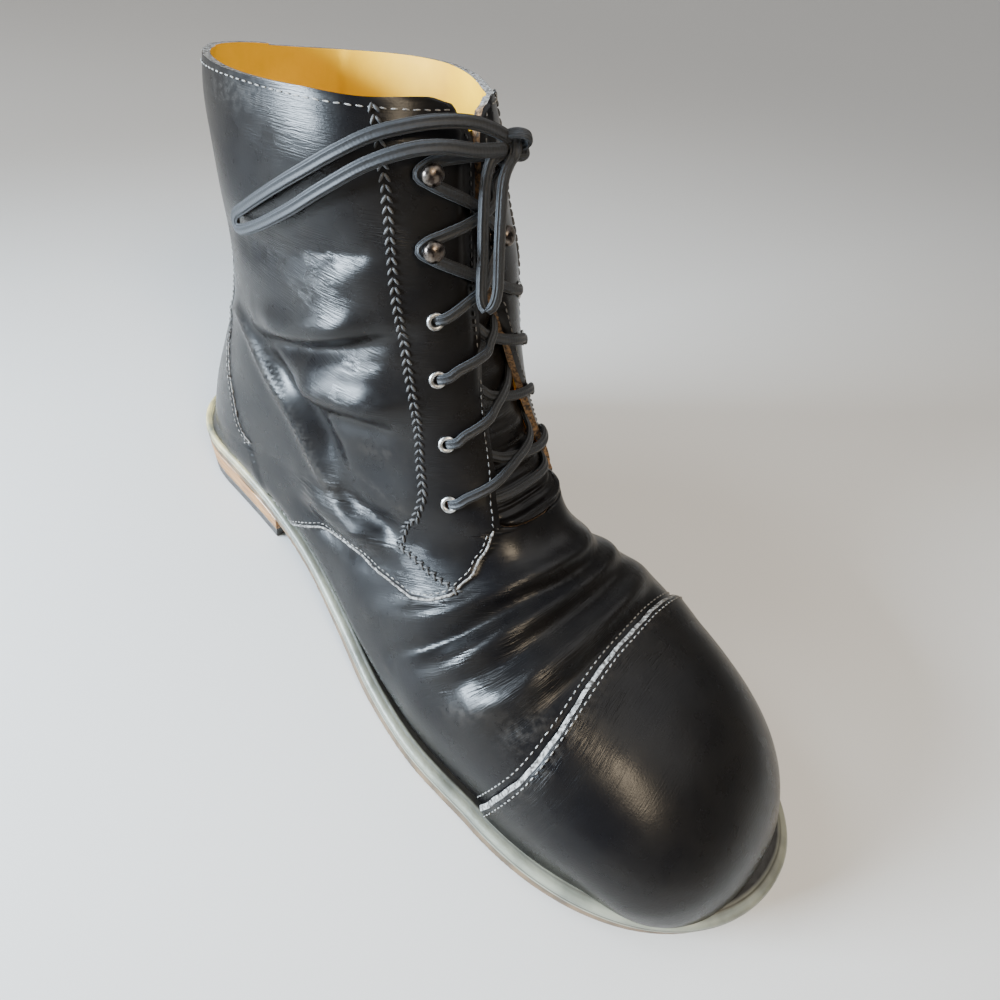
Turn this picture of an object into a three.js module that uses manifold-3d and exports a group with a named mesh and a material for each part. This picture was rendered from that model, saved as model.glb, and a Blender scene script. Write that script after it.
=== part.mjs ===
// A laced leather ankle boot, right foot, on a welted rubber sole.
// Millimetres. +X points to the toe, +Y to the medial (inner) side, +Z up.
// The form is a fan of sections: level across the shaft, tilted over the heel,
// upright across the ball, and folded forward again around the toe.
import * as THREE from 'three';
import { mergeVertices } from 'three/addons/utils/BufferGeometryUtils.js';
import Module from 'manifold-3d';

const wasm = await Module();
wasm.setup();

// ---- driving dimensions ----
const LENGTH = 300;          // outsole, heel to toe
const GAP = 0.3;             // clearance between pieces that touch
const WALL = 2.6;            // leather and lining
const TONGUE = 3.0;          // padded tongue
const CAP = 1.6;             // second layer over the toe
const INSOLE = 3.2;
const WELT = 4.4;            // welt and midsole
const TOP_LIFT = 6.0;        // rubber under the heel stack
const HEEL_END = 85;         // breast of the heel
const HEEL_TAPER = 3.0;      // the block draws in toward the ground
const LATERAL = -1;
const MEDIAL = 1;

// ---- plan of the sole: half widths from the centre line ----
// columns: x, lateral, medial
const PLAN = [
  [40, 39.0, 37.5],
  [75, 39.0, 35.5],
  [110, 40.5, 34.0],
  [140, 46.0, 38.5],
  [170, 53.5, 48.0],
  [195, 56.8, 55.0],
  [222, 55.5, 56.5],
];
const HEEL_X = PLAN[0][0];                    // where the heel's round begins
const TOE_X = PLAN[PLAN.length - 1][0];       // where the toe's round begins
const TIP_Y = 6;                              // the toe's tip lies to the medial side
const HEEL_POWER = 2.25;
const TOE_POWER = 2.1;

// ---- side view of the sole ----
// columns: x, tread face, feather line (where upper and sole meet)
const SIDE = [
  [0, 0, 27.5],
  [40, 0, 27],
  [75, 0, 25.8],
  [100, 8, 21.8],
  [125, 4, 16.7],
  [150, 0.8, 12.8],
  [175, 0, 10.9],
  [200, 0, 10.5],
  [225, 0.6, 11],
  [250, 2.8, 13],
  [275, 6.5, 16.5],
  [300, 12, 21.5],
];
// underside of the outsole where the heel block takes over: x, z
const SHANK = [
  [0, 18.5],
  [60, 17.6],
  [84, 15.6],
  [106, 11.2],
  [125, 6.8],
  [145, 2.6],
  [165, 0],
  [200, 0],
];

// ---- sections of the upper ----
// front (ridge) point, back (or bottom) point, half widths, height of the widest
// place from front to back, roundness of front and back, offset of the ridge
// columns: frontX, frontZ, backX, backZ, lateral, medial, widest, frontPower, backPower, ridgeY
const ROWS = [
  [118.2, 202.3, 14.2, 193.2, 44.0, 46.0, 0.500, 2.51, 2.2, 0.0],
  [125.0, 188.5, 15.0, 180.5, 45.0, 46.1, 0.500, 2.52, 2.2, 0.1],
  [131.0, 169.5, 17.5, 162.5, 44.0, 45.1, 0.500, 2.44, 2.2, 0.1],
  [138.0, 150.7, 19.5, 145.5, 42.5, 43.3, 0.500, 2.49, 2.2, 0.2],
  [145.0, 134.9, 21.5, 128.0, 40.5, 41.1, 0.505, 2.45, 2.2, 1.3],
  [151.3, 121.2, 21.5, 110.5, 39.0, 40.2, 0.520, 2.56, 2.2, 1.5],
  [157.0, 110.2, 19.0, 93.0, 38.0, 40.0, 0.555, 2.70, 2.2, 2.7],
  [161.8, 102.3, 14.2, 76.5, 37.5, 40.7, 0.600, 2.88, 2.2, 4.0],
  [166.2, 96.6, 10.2, 62.5, 37.0, 41.3, 0.645, 3.07, 2.2, 4.8],
  [170.0, 92.3, 7.8, 50.5, 37.0, 42.1, 0.680, 3.24, 2.2, 5.6],
  [173.3, 89.1, 6.9, 39.7, 37.0, 42.7, 0.705, 3.36, 2.2, 6.3],
  [176.2, 86.6, 6.8, 31.9, 37.0, 43.1, 0.725, 3.40, 2.2, 6.9],
  [178.8, 84.2, 7.0, 27.7, 37.0, 42.8, 0.742, 3.37, 2.2, 7.0],
  [181.3, 81.7, 10.5, 27.5, 37.0, 42.1, 0.760, 3.26, 2.2, 6.9],
  [184.0, 79.4, 21.0, 27.3, 37.3, 41.3, 0.780, 3.12, 2.2, 6.8],
  [187.0, 77.3, 38.0, 27.0, 37.8, 40.7, 0.803, 2.98, 2.2, 6.6],
  [190.5, 75.4, 62.0, 26.3, 38.3, 40.6, 0.828, 2.84, 2.2, 6.3],
  [194.8, 73.8, 91.0, 23.7, 39.5, 40.9, 0.852, 2.75, 2.2, 6.0],
  [200.0, 71.9, 122.0, 17.3, 42.5, 42.9, 0.870, 2.74, 2.2, 5.7],
  [206.5, 69.7, 155.0, 12.8, 49.0, 47.2, 0.875, 2.75, 2.2, 5.5],
  [215.0, 66.8, 186.0, 10.6, 53.0, 53.0, 0.860, 2.74, 2.2, 5.3],
  [226.0, 63.5, 211.0, 10.6, 52.5, 54.3, 0.840, 2.69, 2.2, 5.2],
  [238.5, 59.8, 231.0, 11.4, 49.5, 51.7, 0.820, 2.60, 2.2, 5.1],
  [252.0, 55.7, 244.5, 12.5, 45.5, 47.1, 0.800, 2.49, 2.2, 5.1],
  [266.0, 50.1, 252.0, 13.2, 43.0, 43.6, 0.800, 2.39, 2.2, 5.0],
  [277.5, 43.1, 256.5, 13.7, 41.0, 40.8, 0.830, 2.31, 2.2, 5.0],
  [286.0, 34.7, 259.5, 14.1, 39.0, 38.4, 0.880, 2.25, 2.2, 5.0],
  [291.0, 26.1, 261.5, 14.4, 37.5, 36.7, 0.945, 2.17, 2.2, 5.5],
  [292.5, 19.6, 263.0, 14.7, 36.5, 35.6, 0.990, 2.16, 2.2, 6.0],
];
const LAST_ROW = ROWS.length - 1;
const HEEL_SEAT_ROW = 12;    // from here on a section stands on the feather line
// the medial facing is drawn in at the top: section, share of the front's roundness there
const DRAWN_IN = [
  [0, 0.62],
  [1, 0.66],
  [2, 0.8],
  [3.2, 1],
  [28, 1],
];
const MARGIN = { back: 7, side: 3.3, ball: 5.2, tip: 7.5 };   // welt outside the upper

// ---- closures, all by section and by distance from the ridge along the leather ----
// columns: section, lateral distance, medial distance
const EYELETS = [
  [9.8, 33, 39],
  [6.45, 25, 30],
  [4.6, 23, 25],
  [3.4, 21, 22],
];
const HOOKS = [
  [2.25, 21, 7.5],
  [1.2, 21, 7.5],
];
// edges of the facings: section, lateral distance, medial distance
const THROAT = [
  [0, 1.8, 1.8],
  [2, 1.8, 1.8],
  [4, 4, 8],
  [6, 8, 18],
  [8, 12, 25],
  [10, 17, 29],
  [13, 21, 32],
];
const THROAT_END = 13.4;
const COLLAR_ROUND = 14;
const ROUND = 8;              // sides of eyelets and hooks
const LACE_WIDTH = 4.0;
const LACE_THICK = 2.2;
const LACE_SIDES = 6;
const LACE_LIFT = 2.2;       // from the leather to the middle of a lace that lies on it

const CAP_SEAM = 21;         // the section where the toe cap's raw edge lies

// ---- the bow: section, distance from the ridge to the lateral side, height over the leather ----
const LOOP_BACK = [
  [0.67, 3, 9],
  [0.5, 10.3, 8],
  [0.45, 18.3, 6.5],
  [0.51, 25.9, 5.2],
  [0.67, 34.5, 4.2],
  [0.97, 44, 3.6],
  [1.36, 55.4, 3.2],
  [1.87, 71.1, 3],
  [2.29, 84.1, 3],
  [2.62, 94, 3],
  [2.86, 93.5, 3],
  [2.53, 79.5, 3],
  [2.03, 63, 3.4],
  [1.52, 49, 4],
  [1.1, 37, 5],
  [0.88, 27, 6.5],
  [0.84, 19, 8],
  [0.92, 9.9, 9],
];
const LOOP_FRONT = [
  [1.07, 4.7, 8],
  [1.36, 6.2, 7.2],
  [1.84, 6.6, 7],
  [2.36, 7, 6.8],
  [2.78, 7.8, 6.6],
  [3.07, 8.4, 6.8],
  [3.24, 8, 7.8],
  [3.17, 6.9, 9.6],
  [2.89, 5.9, 11],
  [2.36, 5.1, 11.3],
  [1.84, 4.3, 11.3],
  [1.41, 3.5, 11],
  [1.21, 1.9, 10.8],
];
const KNOT = { section: 0.95, distance: -2.6, lift: 9.3, ring: 3.8, tube: 2.3 };

// ---- helpers ----
const clamp = (v, low, high) => Math.min(Math.max(v, low), high);

function along(table, x, column) {
  // smooth curve through the rows of a table whose first column is x
  const slope = (i) => {
    const a = table[Math.max(i - 1, 0)];
    const b = table[Math.min(i + 1, table.length - 1)];
    return (b[column] - a[column]) / (b[0] - a[0]);
  };
  const at = clamp(x, table[0][0], table[table.length - 1][0]);
  let i = 0;
  while (i < table.length - 2 && at > table[i + 1][0]) i += 1;
  const step = table[i + 1][0] - table[i][0];
  const t = (at - table[i][0]) / step;
  const s = 1 - t;
  return s * s * (1 + 2 * t) * table[i][column]
    + t * t * (3 - 2 * t) * table[i + 1][column]
    + step * t * s * (s * slope(i) - t * slope(i + 1));
}

function rowAt(s) {
  // a section between the rows, by a curve through four of them
  const i = clamp(Math.floor(s), 0, LAST_ROW - 1);
  const t = s - i;
  return ROWS[i].map((p1, k) => {
    const p2 = ROWS[i + 1][k];
    const p0 = i > 0 ? ROWS[i - 1][k] : 2 * p1 - p2;
    const p3 = i < LAST_ROW - 1 ? ROWS[i + 2][k] : 2 * p2 - p1;
    const square = 2 * p0 - 5 * p1 + 4 * p2 - p3;
    const cube = 3 * p1 - p0 - 3 * p2 + p3;
    return 0.5 * (2 * p1 + (p2 - p0) * t + square * t * t + cube * t * t * t);
  });
}

function halfWidth(x, side, back = 0, rim = 0, tip = 0) {
  // plan of the sole drawn in by the given margins
  const width = along(PLAN, x, side === LATERAL ? 1 : 2) - rim;
  if (x < HEEL_X) {
    const d = clamp((HEEL_X - x) / (HEEL_X - back), 0, 1);
    return width * (1 - d ** HEEL_POWER) ** (1 / HEEL_POWER);
  }
  const d = clamp((x - TOE_X) / (LENGTH - tip - TOE_X), 0, 1);
  const centre = TIP_Y * side * (1 - (1 - d) ** 2);
  return (width - centre) * (1 - d ** TOE_POWER) ** (1 / TOE_POWER) + centre;
}

const rimMargin = (x) => THREE.MathUtils.lerp(MARGIN.side, MARGIN.ball, THREE.MathUtils.smoothstep(x, 90, 190));
const featherHalf = (x, side, inward = 0) => halfWidth(
  x, side, MARGIN.back + inward, rimMargin(x) + inward, MARGIN.tip + inward);
const featherZ = (x) => along(SIDE, x, 2);
const treadZ = (x) => along(SIDE, x, 1);

function sectionSide(s, side, grow, count, drop = 0) {
  // points of one half section from the ridge to the back or the feather line,
  // moved outward by grow and, where it stands on the sole, down by drop
  const row = rowAt(s);
  const ahead = rowAt(Math.min(s + 0.02, LAST_ROW));
  const behind = rowAt(Math.max(s - 0.02, 0));
  const [, , , , lateral, medial, widest, frontPower, backPower, ridgeY] = row;
  const ridgeRun = new THREE.Vector2(ahead[0] - behind[0], ahead[1] - behind[1]).normalize();
  const backRun = new THREE.Vector2(ahead[2] - behind[2], ahead[3] - behind[3]).normalize();
  const front = new THREE.Vector2(row[0] - ridgeRun.y * grow, row[1] + ridgeRun.x * grow);
  const back = new THREE.Vector2(row[2], row[3]);
  const seated = clamp((s - HEEL_SEAT_ROW + 0.5) * 2, 0, 1);
  const round = clamp((HEEL_SEAT_ROW + 1 - s) * 2, 0, 1);
  back.x += backRun.y * grow * round;
  back.y -= backRun.x * grow * round * (1 - seated);
  back.y -= drop * seated;
  const feather = s > HEEL_SEAT_ROW ? Math.max(featherHalf(row[2] , side) + grow, 0) : 0;
  const open = s > HEEL_SEAT_ROW ? featherHalf(row[2], side) > 0.5 : false;
  const bottom = open ? feather : 0;
  const width = Math.max((side === LATERAL ? lateral : medial) + grow, bottom * 1.005);
  const endLevel = clamp(bottom / width, 0, 1);
  const endAngle = Math.acos(Math.min(1, endLevel ** (backPower / 2)));
  const frontCount = Math.max(3, Math.round(count * widest));
  const points = [];
  const place = (t, y) => {
    points.push(new THREE.Vector3(
      THREE.MathUtils.lerp(front.x, back.x, t), y * side, THREE.MathUtils.lerp(front.y, back.y, t)));
  };
  const ridge = ridgeY * side;
  const power = frontPower * (side === MEDIAL ? along(DRAWN_IN, s, 1) : 1);
  for (let i = 0; i <= frontCount; i += 1) {
    const angle = (i / frontCount) * Math.PI / 2;
    place(widest * (1 - Math.cos(angle) ** (2 / power)),
      ridge + (width - ridge) * Math.sin(angle) ** (2 / power));
  }
  const backCount = count - frontCount;
  const reach = Math.sin(endAngle) ** (2 / backPower);
  for (let i = 1; i <= backCount; i += 1) {
    const angle = (i / backCount) * endAngle;
    const t = endAngle > 0.02 ? Math.sin(angle) ** (2 / backPower) / reach : i / backCount;
    place(widest + (1 - widest) * t, width * Math.cos(angle) ** (2 / backPower));
  }
  return points;
}

function onLeather(s, side, distance, grow = 0) {
  // a place on the leather: section, side, distance from the ridge
  const points = sectionSide(s, side, grow, 48);
  let left = distance;
  let i = 0;
  while (i < points.length - 2 && left > points[i].distanceTo(points[i + 1])) {
    left -= points[i].distanceTo(points[i + 1]);
    i += 1;
  }
  return points[i].clone().lerp(points[i + 1], left / points[i].distanceTo(points[i + 1]));
}

function leatherFrame(s, side, distance) {
  // place and outward direction on the leather
  const place = onLeather(s, side, distance);
  const across = onLeather(s, side, distance + 1).sub(onLeather(s, side, distance - 1));
  const lengthwise = onLeather(s + 0.1, side, distance).sub(onLeather(s - 0.1, side, distance));
  const out = across.cross(lengthwise).normalize().multiplyScalar(side === LATERAL ? 1 : -1);
  return { place, out };
}

function geometryOf(positions, index) {
  const raw = new THREE.BufferGeometry();
  raw.setAttribute('position', new THREE.Float32BufferAttribute(positions, 3));
  raw.setIndex(index);
  const merged = mergeVertices(raw, 1e-3);
  const kept = [];
  const at = merged.index.array;
  for (let i = 0; i < at.length; i += 3) {
    if (at[i] !== at[i + 1] && at[i + 1] !== at[i + 2] && at[i] !== at[i + 2]) {
      kept.push(at[i], at[i + 1], at[i + 2]);
    }
  }
  merged.setIndex(kept);
  return merged;
}

function loft(rings) {
  // closed body through rings of equal count, with its two ends filled from their middles
  const count = rings[0].length;
  const positions = [];
  const index = [];
  rings.forEach((ring) => ring.forEach((p) => positions.push(p.x, p.y, p.z)));
  const last = rings.length - 1;
  for (let r = 0; r < last; r += 1) {
    for (let i = 0; i < count; i += 1) {
      const a = r * count + i;
      const b = r * count + (i + 1) % count;
      index.push(a, b, b + count, a, b + count, a + count);
    }
  }
  [0, last].forEach((r) => {
    const middle = new THREE.Vector3();
    rings[r].forEach((p) => middle.addScaledVector(p, 1 / count));
    const hub = positions.length / 3;
    positions.push(middle.x, middle.y, middle.z);
    for (let i = 0; i < count; i += 1) {
      const a = r * count + i;
      const b = r * count + (i + 1) % count;
      index.push(...(r === 0 ? [b, a, hub] : [a, b, hub]));
    }
  });
  return geometryOf(positions, index);
}

function volume(geometry) {
  const p = geometry.attributes.position;
  const corner = (i) => new THREE.Vector3().fromBufferAttribute(p, geometry.index.array[i]);
  let sum = 0;
  for (let i = 0; i < geometry.index.count; i += 3) {
    sum += corner(i).dot(corner(i + 1).cross(corner(i + 2)));
  }
  return sum / 6;
}

function solid(source) {
  // a geometry as a body that can be joined and cut, faces outward
  const bare = source.clone();
  bare.deleteAttribute('normal');
  bare.deleteAttribute('uv');
  const merged = mergeVertices(bare, 1e-4);
  const triangles = new Uint32Array(merged.index.array);
  if (volume(merged) < 0) {
    for (let i = 0; i < triangles.length; i += 3) {
      [triangles[i], triangles[i + 1]] = [triangles[i + 1], triangles[i]];
    }
  }
  return new wasm.Manifold(new wasm.Mesh({
    numProp: 3,
    vertProperties: new Float32Array(merged.attributes.position.array),
    triVerts: triangles,
  }));
}

function geometryFrom(body) {
  const mesh = body.getMesh();
  const geometry = new THREE.BufferGeometry();
  geometry.setAttribute('position', new THREE.BufferAttribute(new Float32Array(mesh.vertProperties), 3));
  geometry.setIndex(new THREE.BufferAttribute(new Uint32Array(mesh.triVerts), 1));
  return geometry;
}

const moved = (geometry, place, out) => {
  // turn a geometry made along +Z to the given direction and put it in place
  const turn = new THREE.Quaternion().setFromUnitVectors(new THREE.Vector3(0, 0, 1), out);
  return geometry.clone().applyQuaternion(turn).translate(place.x, place.y, place.z);
};

// ---- upper ----
const SECTIONS = [
  0, 1, 2, 3, 4, 5, 6, 7, 8, 9, 10, 11, 12, 12.5, 13, 13.5, 14, 15,
  16, 17, 18, 19, 20, 21, 22, 23, 24, 25, 26, 27, 28,
];
const SIDE_STEPS = 13;
const DROP = 9;              // how far the inside reaches below the feather line, to open the bottom

function ring(s, grow, count, drop = 0) {
  const lateral = sectionSide(s, LATERAL, grow, count, drop);
  const medial = sectionSide(s, MEDIAL, grow, count, drop);
  return [...lateral, ...medial.slice(1).reverse()];
}

function form(grow, drop, raise) {
  // the whole boot as one filled body, grown outward and reaching below and above itself
  const rings = SECTIONS.map((s) => ring(s, grow, SIDE_STEPS, drop));
  if (raise > 0) {
    rings.unshift(rings[0].map((p) => p.clone().add(new THREE.Vector3(0, 0, raise))));
  }
  return solid(loft(rings));
}

function throatCutter() {
  // a wedge along the ridge between the two facings, rounded into the collar's corners
  const rings = [];
  const stations = [-0.7, 0, 0.15, 0.35, 0.7, 1.2, 2, 4, 6, 8, 10, 11.3, 12.2, 12.8, 13.2, THROAT_END];
  stations.forEach((s) => {
    const at = Math.max(s, 0);
    const below = onLeather(at, LATERAL, 0).distanceTo(onLeather(0, LATERAL, 0)) * Math.sign(s || 1);
    const corner = clamp(1 - Math.max(below, 0) / COLLAR_ROUND, 0, 1);
    const flare = COLLAR_ROUND * (1 - Math.sqrt(1 - corner * corner));
    const end = clamp((THROAT_END - s) / 1.4, 0, 1);
    const close = Math.sqrt(1 - (1 - end) ** 2);
    const reach = (column) => Math.max((along(THROAT, at, column) + flare) * close, 0.4);
    const lift = s < 0 ? 14 : 0;
    const corners = [
      [LATERAL, reach(1), 18], [LATERAL, reach(1), -12], [MEDIAL, reach(2), -12], [MEDIAL, reach(2), 18],
    ];
    rings.push(corners.map(([side, distance, deep]) => {
      const { out } = leatherFrame(clamp(at, 0.1, 27), side, distance);
      const level = new THREE.Vector3(out.x, 0, out.z).normalize();
      return onLeather(at, side, distance).addScaledVector(level, deep).add(new THREE.Vector3(0, 0, lift));
    }));
  });
  return solid(loft(rings));
}

function eyeletHole(s, side, distance) {
  const { place, out } = leatherFrame(s, side, distance);
  const drill = new THREE.CylinderGeometry(2.3, 2.3, 14, ROUND).rotateX(Math.PI / 2);
  return solid(moved(drill, place, out));
}

function makeUpper() {
  let body = form(0, 0, 0).subtract(form(-WALL, DROP, 12)).subtract(throatCutter());
  EYELETS.forEach(([s, lateral, medial]) => {
    body = body.subtract(eyeletHole(s, LATERAL, lateral)).subtract(eyeletHole(s, MEDIAL, medial));
  });
  return geometryFrom(body);
}

// the space inside the upper, clear of its wall
const insideForm = () => form(-(WALL + 2 * GAP), DROP, 12);

// ---- tongue: a curved pad that follows the inside of the upper ----
function makeTongue() {
  const outer = -(WALL + 1.1);
  const inner = outer - TONGUE;
  const arcs = 8;
  const rings = [];
  for (let s = 0.6; s <= 15.1; s += 1) {
    const reach = 25 + 8 * THREE.MathUtils.smoothstep(s, 3, 9);
    const sheet = (grow) => {
      const points = [];
      for (let i = -arcs; i <= arcs; i += 2) {
        const side = i < 0 ? LATERAL : MEDIAL;
        points.push(onLeather(s, side, reach * Math.abs(i) / arcs, grow));
      }
      return points;
    };
    rings.push([...sheet(outer), ...sheet(inner).reverse()]);
  }
  return geometryFrom(solid(loft(rings)).intersect(insideForm()).intersect(form(0, 0, 0)));
}

// ---- plates that follow the plan of the sole ----
function stationsOf(from, to, fine) {
  const list = [];
  const ease = (k, n) => 1 - Math.cos((k / n) * Math.PI / 2);
  for (let k = 0; k <= fine; k += 1) list.push(from + (HEEL_X - from) * ease(k, fine));
  for (let x = HEEL_X + 15; x < Math.min(TOE_X, to) - 5; x += 15) list.push(x);
  if (to > TOE_X) {
    for (let k = 0; k <= fine; k += 1) list.push(to - (to - TOE_X) * ease(fine - k, fine));
  } else {
    list.push(to);
  }
  return list;
}

function plate(from, to, half, lower, upper) {
  const rings = stationsOf(from, to, 9).map((x) => {
    const corner = (side, z) => new THREE.Vector3(x, side * half(x, side), z);
    return [
      corner(LATERAL, lower(x)), corner(LATERAL, upper(x)), corner(MEDIAL, upper(x)), corner(MEDIAL, lower(x)),
    ];
  });
  return solid(loft(rings));
}

const makeInsole = () => geometryFrom(plate(
  MARGIN.back + WALL, LENGTH - MARGIN.tip - WALL,
  (x, side) => featherHalf(x, side, WALL),
  (x) => featherZ(x) - 3, (x) => featherZ(x) + INSOLE).intersect(insideForm()).intersect(form(0, 0, 0)));

function makeWelt() {
  // its top is bedded to the underside of the upper
  const band = plate(0, LENGTH, (x, side) => halfWidth(x, side), (x) => featherZ(x) - WELT, featherZ);
  const last = form(0, 0, 0);
  const bed = form(GAP, 0, 0).translate([0, 0, -GAP]).add(last.translate([0, 0, -GAP])).add(last);
  return geometryFrom(band.subtract(bed));
}

// flat under the ball, where the forefoot stands
const shankZ = (x) => (x < 200 ? Math.max(along(SHANK, x, 1), 0) : treadZ(x));

function makeOutsole() {
  const inset = (x, side) => halfWidth(x, side, 0.8, 0.8, 0.8);
  return geometryFrom(plate(0.8, LENGTH - 0.8, inset, shankZ, (x) => featherZ(x) - WELT - GAP));
}

function heelLayer(lower, upper) {
  // a slice of the heel block between two heights, drawn in toward the ground
  const draw = (z) => HEEL_TAPER * (1 - z / SHANK[0][1]) + 1;
  const rings = stationsOf(1, HEEL_END, 9).map((x) => {
    const corner = (side, z) => new THREE.Vector3(
      THREE.MathUtils.mapLinear(x, 1, HEEL_END, draw(z), HEEL_END - draw(z) / 2),
      side * halfWidth(x, side, 1, draw(z), 1), z);
    return [
      corner(LATERAL, lower(x)), corner(LATERAL, upper(x)), corner(MEDIAL, upper(x)), corner(MEDIAL, lower(x)),
    ];
  });
  return geometryFrom(solid(loft(rings)));
}
const makeHeel = () => heelLayer(() => TOP_LIFT + GAP, (x) => shankZ(x) - 2 * GAP);
const makeTopLift = () => heelLayer(() => 0, () => TOP_LIFT);

// ---- toe cap: a shell between two larger forms, in front of its seam ----
function makeToeCap() {
  const front = (grow, from, drop) => {
    const rings = [from];
    for (let s = Math.ceil(from + 0.1); s <= LAST_ROW; s += 1) rings.push(s);
    return solid(loft(rings.map((s) => ring(s, grow, SIDE_STEPS, drop))));
  };
  const above = plate(0, LENGTH, (x, side) => halfWidth(x, side) + 6, (x) => featherZ(x) + GAP, () => 120);
  const hollow = front(GAP, CAP_SEAM - 0.6, DROP).add(form(0, 0, 0));
  return geometryFrom(front(CAP + GAP, CAP_SEAM, 0).subtract(hollow).intersect(above));
}

// ---- metal: eyelets and ball hooks, made along +Z with the leather's face at zero ----
function makeEyelet() {
  const profile = [
    [1.7, -2.7], [2.05, -2.7], [2.05, GAP], [2.9, GAP], [2.9, 0.6], [2.2, 1.1], [1.7, 0.7], [1.7, -2.7],
  ];
  return new THREE.LatheGeometry(profile.map(([r, z]) => new THREE.Vector2(r, z)), ROUND).rotateX(Math.PI / 2);
}

function makeHook() {
  const profile = [
    [0, GAP], [3.4, GAP], [3.4, 0.9], [1.4, 1.3], [1.4, 3.0],
    [2.6, 3.2], [3.4, 4.4], [3.1, 5.8], [1.8, 6.8], [0, 7.1],
  ];
  return new THREE.LatheGeometry(profile.map(([r, z]) => new THREE.Vector2(r, z)), ROUND).rotateX(Math.PI / 2);
}

function place(source, s, side, distance) {
  const { place: point, out } = leatherFrame(s, side, distance);
  return moved(source, point, out);
}

// ---- laces ----
function cord(points, width, thick, steps) {
  // a flat lace: an oval section swept along a smooth curve
  const section = new THREE.Shape();
  for (let i = 0; i < LACE_SIDES; i += 1) {
    const turn = (i / LACE_SIDES) * Math.PI * 2;
    const corner = [Math.cos(turn) * thick / 2, Math.sin(turn) * width / 2];
    if (i === 0) section.moveTo(...corner);
    else section.lineTo(...corner);
  }
  section.closePath();
  const path = new THREE.CatmullRomCurve3(points, false, 'centripetal');
  return new THREE.ExtrudeGeometry(section, { steps, extrudePath: path, bevelEnabled: false });
}

function crossing([sLow, latLow, medLow], [sHigh, latHigh, medHigh]) {
  // two strands over the gap, from each eyelet to the next one up on the other side
  const strand = (side, low, high) => {
    const start = onLeather(sLow - 0.12 * (sLow - sHigh), side, low - 4, LACE_LIFT);
    const edge = onLeather(sLow - 0.35 * (sLow - sHigh), side, low * 0.45, LACE_LIFT + 0.4);
    const centre = onLeather((sLow + sHigh) / 2, side, 0, LACE_LIFT + 0.6);
    const far = onLeather(sHigh + 0.35 * (sLow - sHigh), -side, high * 0.45, LACE_LIFT + 0.4);
    const end = onLeather(sHigh + 0.12 * (sLow - sHigh), -side, high - 4, LACE_LIFT);
    return solid(cord([start, edge, centre, far, end], LACE_THICK, LACE_WIDTH, 6));
  };
  return geometryFrom(strand(LATERAL, latLow, medHigh).add(strand(MEDIAL, medLow, latHigh)));
}

const bowPoint = ([s, distance, lift]) => onLeather(
  s, distance < 0 ? MEDIAL : LATERAL, Math.abs(distance), lift);
const makeLoop = (rows) => geometryFrom(solid(cord(rows.map(bowPoint), LACE_THICK, LACE_WIDTH, 26)));

function makeKnot() {
  const lump = new THREE.TorusGeometry(KNOT.ring, KNOT.tube, 8, 12).rotateY(Math.PI / 2);
  const at = bowPoint([KNOT.section, KNOT.distance, KNOT.lift]);
  return geometryFrom(solid(lump.translate(at.x, at.y, at.z)));
}

// ---- scene graph ----
const material = (color, roughness, metalness = 0) => new THREE.MeshStandardMaterial({ color, roughness, metalness });
const LEATHER = material(0x17151a, 0.38);
const LINING = material(0xd9992b, 0.7);
const SOLE_EDGE = material(0x8f8f78, 0.6);
const RUBBER = material(0x1d1c1c, 0.7);
const STACK = material(0x8a5a2c, 0.55);
const NICKEL = material(0x9a9a9a, 0.35, 0.9);
const BRONZE = material(0x3b3230, 0.3, 0.9);
const LACE = material(0x23262b, 0.85);

const boot = new THREE.Group();
const piece = (name, geometry, finish) => {
  const mesh = new THREE.Mesh(geometry, finish);
  mesh.name = name;
  boot.add(mesh);
};

piece('upper', makeUpper(), LEATHER);
piece('tongue', makeTongue(), LEATHER);
piece('insole', makeInsole(), LINING);
piece('welt', makeWelt(), SOLE_EDGE);
piece('outsole', makeOutsole(), RUBBER);
piece('heel', makeHeel(), STACK);
piece('top_lift', makeTopLift(), RUBBER);

piece('toe_cap', makeToeCap(), LEATHER);
const SIDES = [['lateral', LATERAL, 1], ['medial', MEDIAL, 2]];
SIDES.forEach(([name, side, column]) => {
  EYELETS.forEach((row, i) => {
    piece(`eyelet_${name}_${i + 1}`, place(makeEyelet(), row[0], side, row[column]), NICKEL);
  });
  HOOKS.forEach((row, i) => {
    piece(`hook_${name}_${i + 1}`, place(makeHook(), row[0], side, row[column]), BRONZE);
  });
});
const STATIONS = [...EYELETS, ...HOOKS];
for (let i = 0; i < STATIONS.length - 1; i += 1) {
  piece(`lace_cross_${i + 1}`, crossing(STATIONS[i], STATIONS[i + 1]), LACE);
}

piece('lace_knot', makeKnot(), LACE);
piece('lace_loop_back', makeLoop(LOOP_BACK), LACE);
piece('lace_loop_front', makeLoop(LOOP_FRONT), LACE);

// origin under the middle of the whole boot, on the ground
const BOW = ['lace_knot', 'lace_loop_back', 'lace_loop_front'];
const box = new THREE.Box3();
boot.children.filter((mesh) => !BOW.includes(mesh.name)).forEach((mesh) => box.expandByObject(mesh));
const middle = box.getCenter(new THREE.Vector3());
boot.position.set(-middle.x, -middle.y, -box.min.z);

export default boot;
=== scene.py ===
# %% [markdown]
# # A laced leather ankle boot
# The boot is a right boot of smooth black leather, worn enough to be creased, on a
# welted sole with a stacked heel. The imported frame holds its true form: hollow upper,
# tongue, insole, welt, outsole and heel. This lesson builds the visible skin of each of
# those pieces around the frame, with creases, seams, metal and laces.
# Everything is in metres, and every piece keeps its object at the origin.

import math

import bpy
import numpy as np
from mathutils import Matrix, Vector


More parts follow.
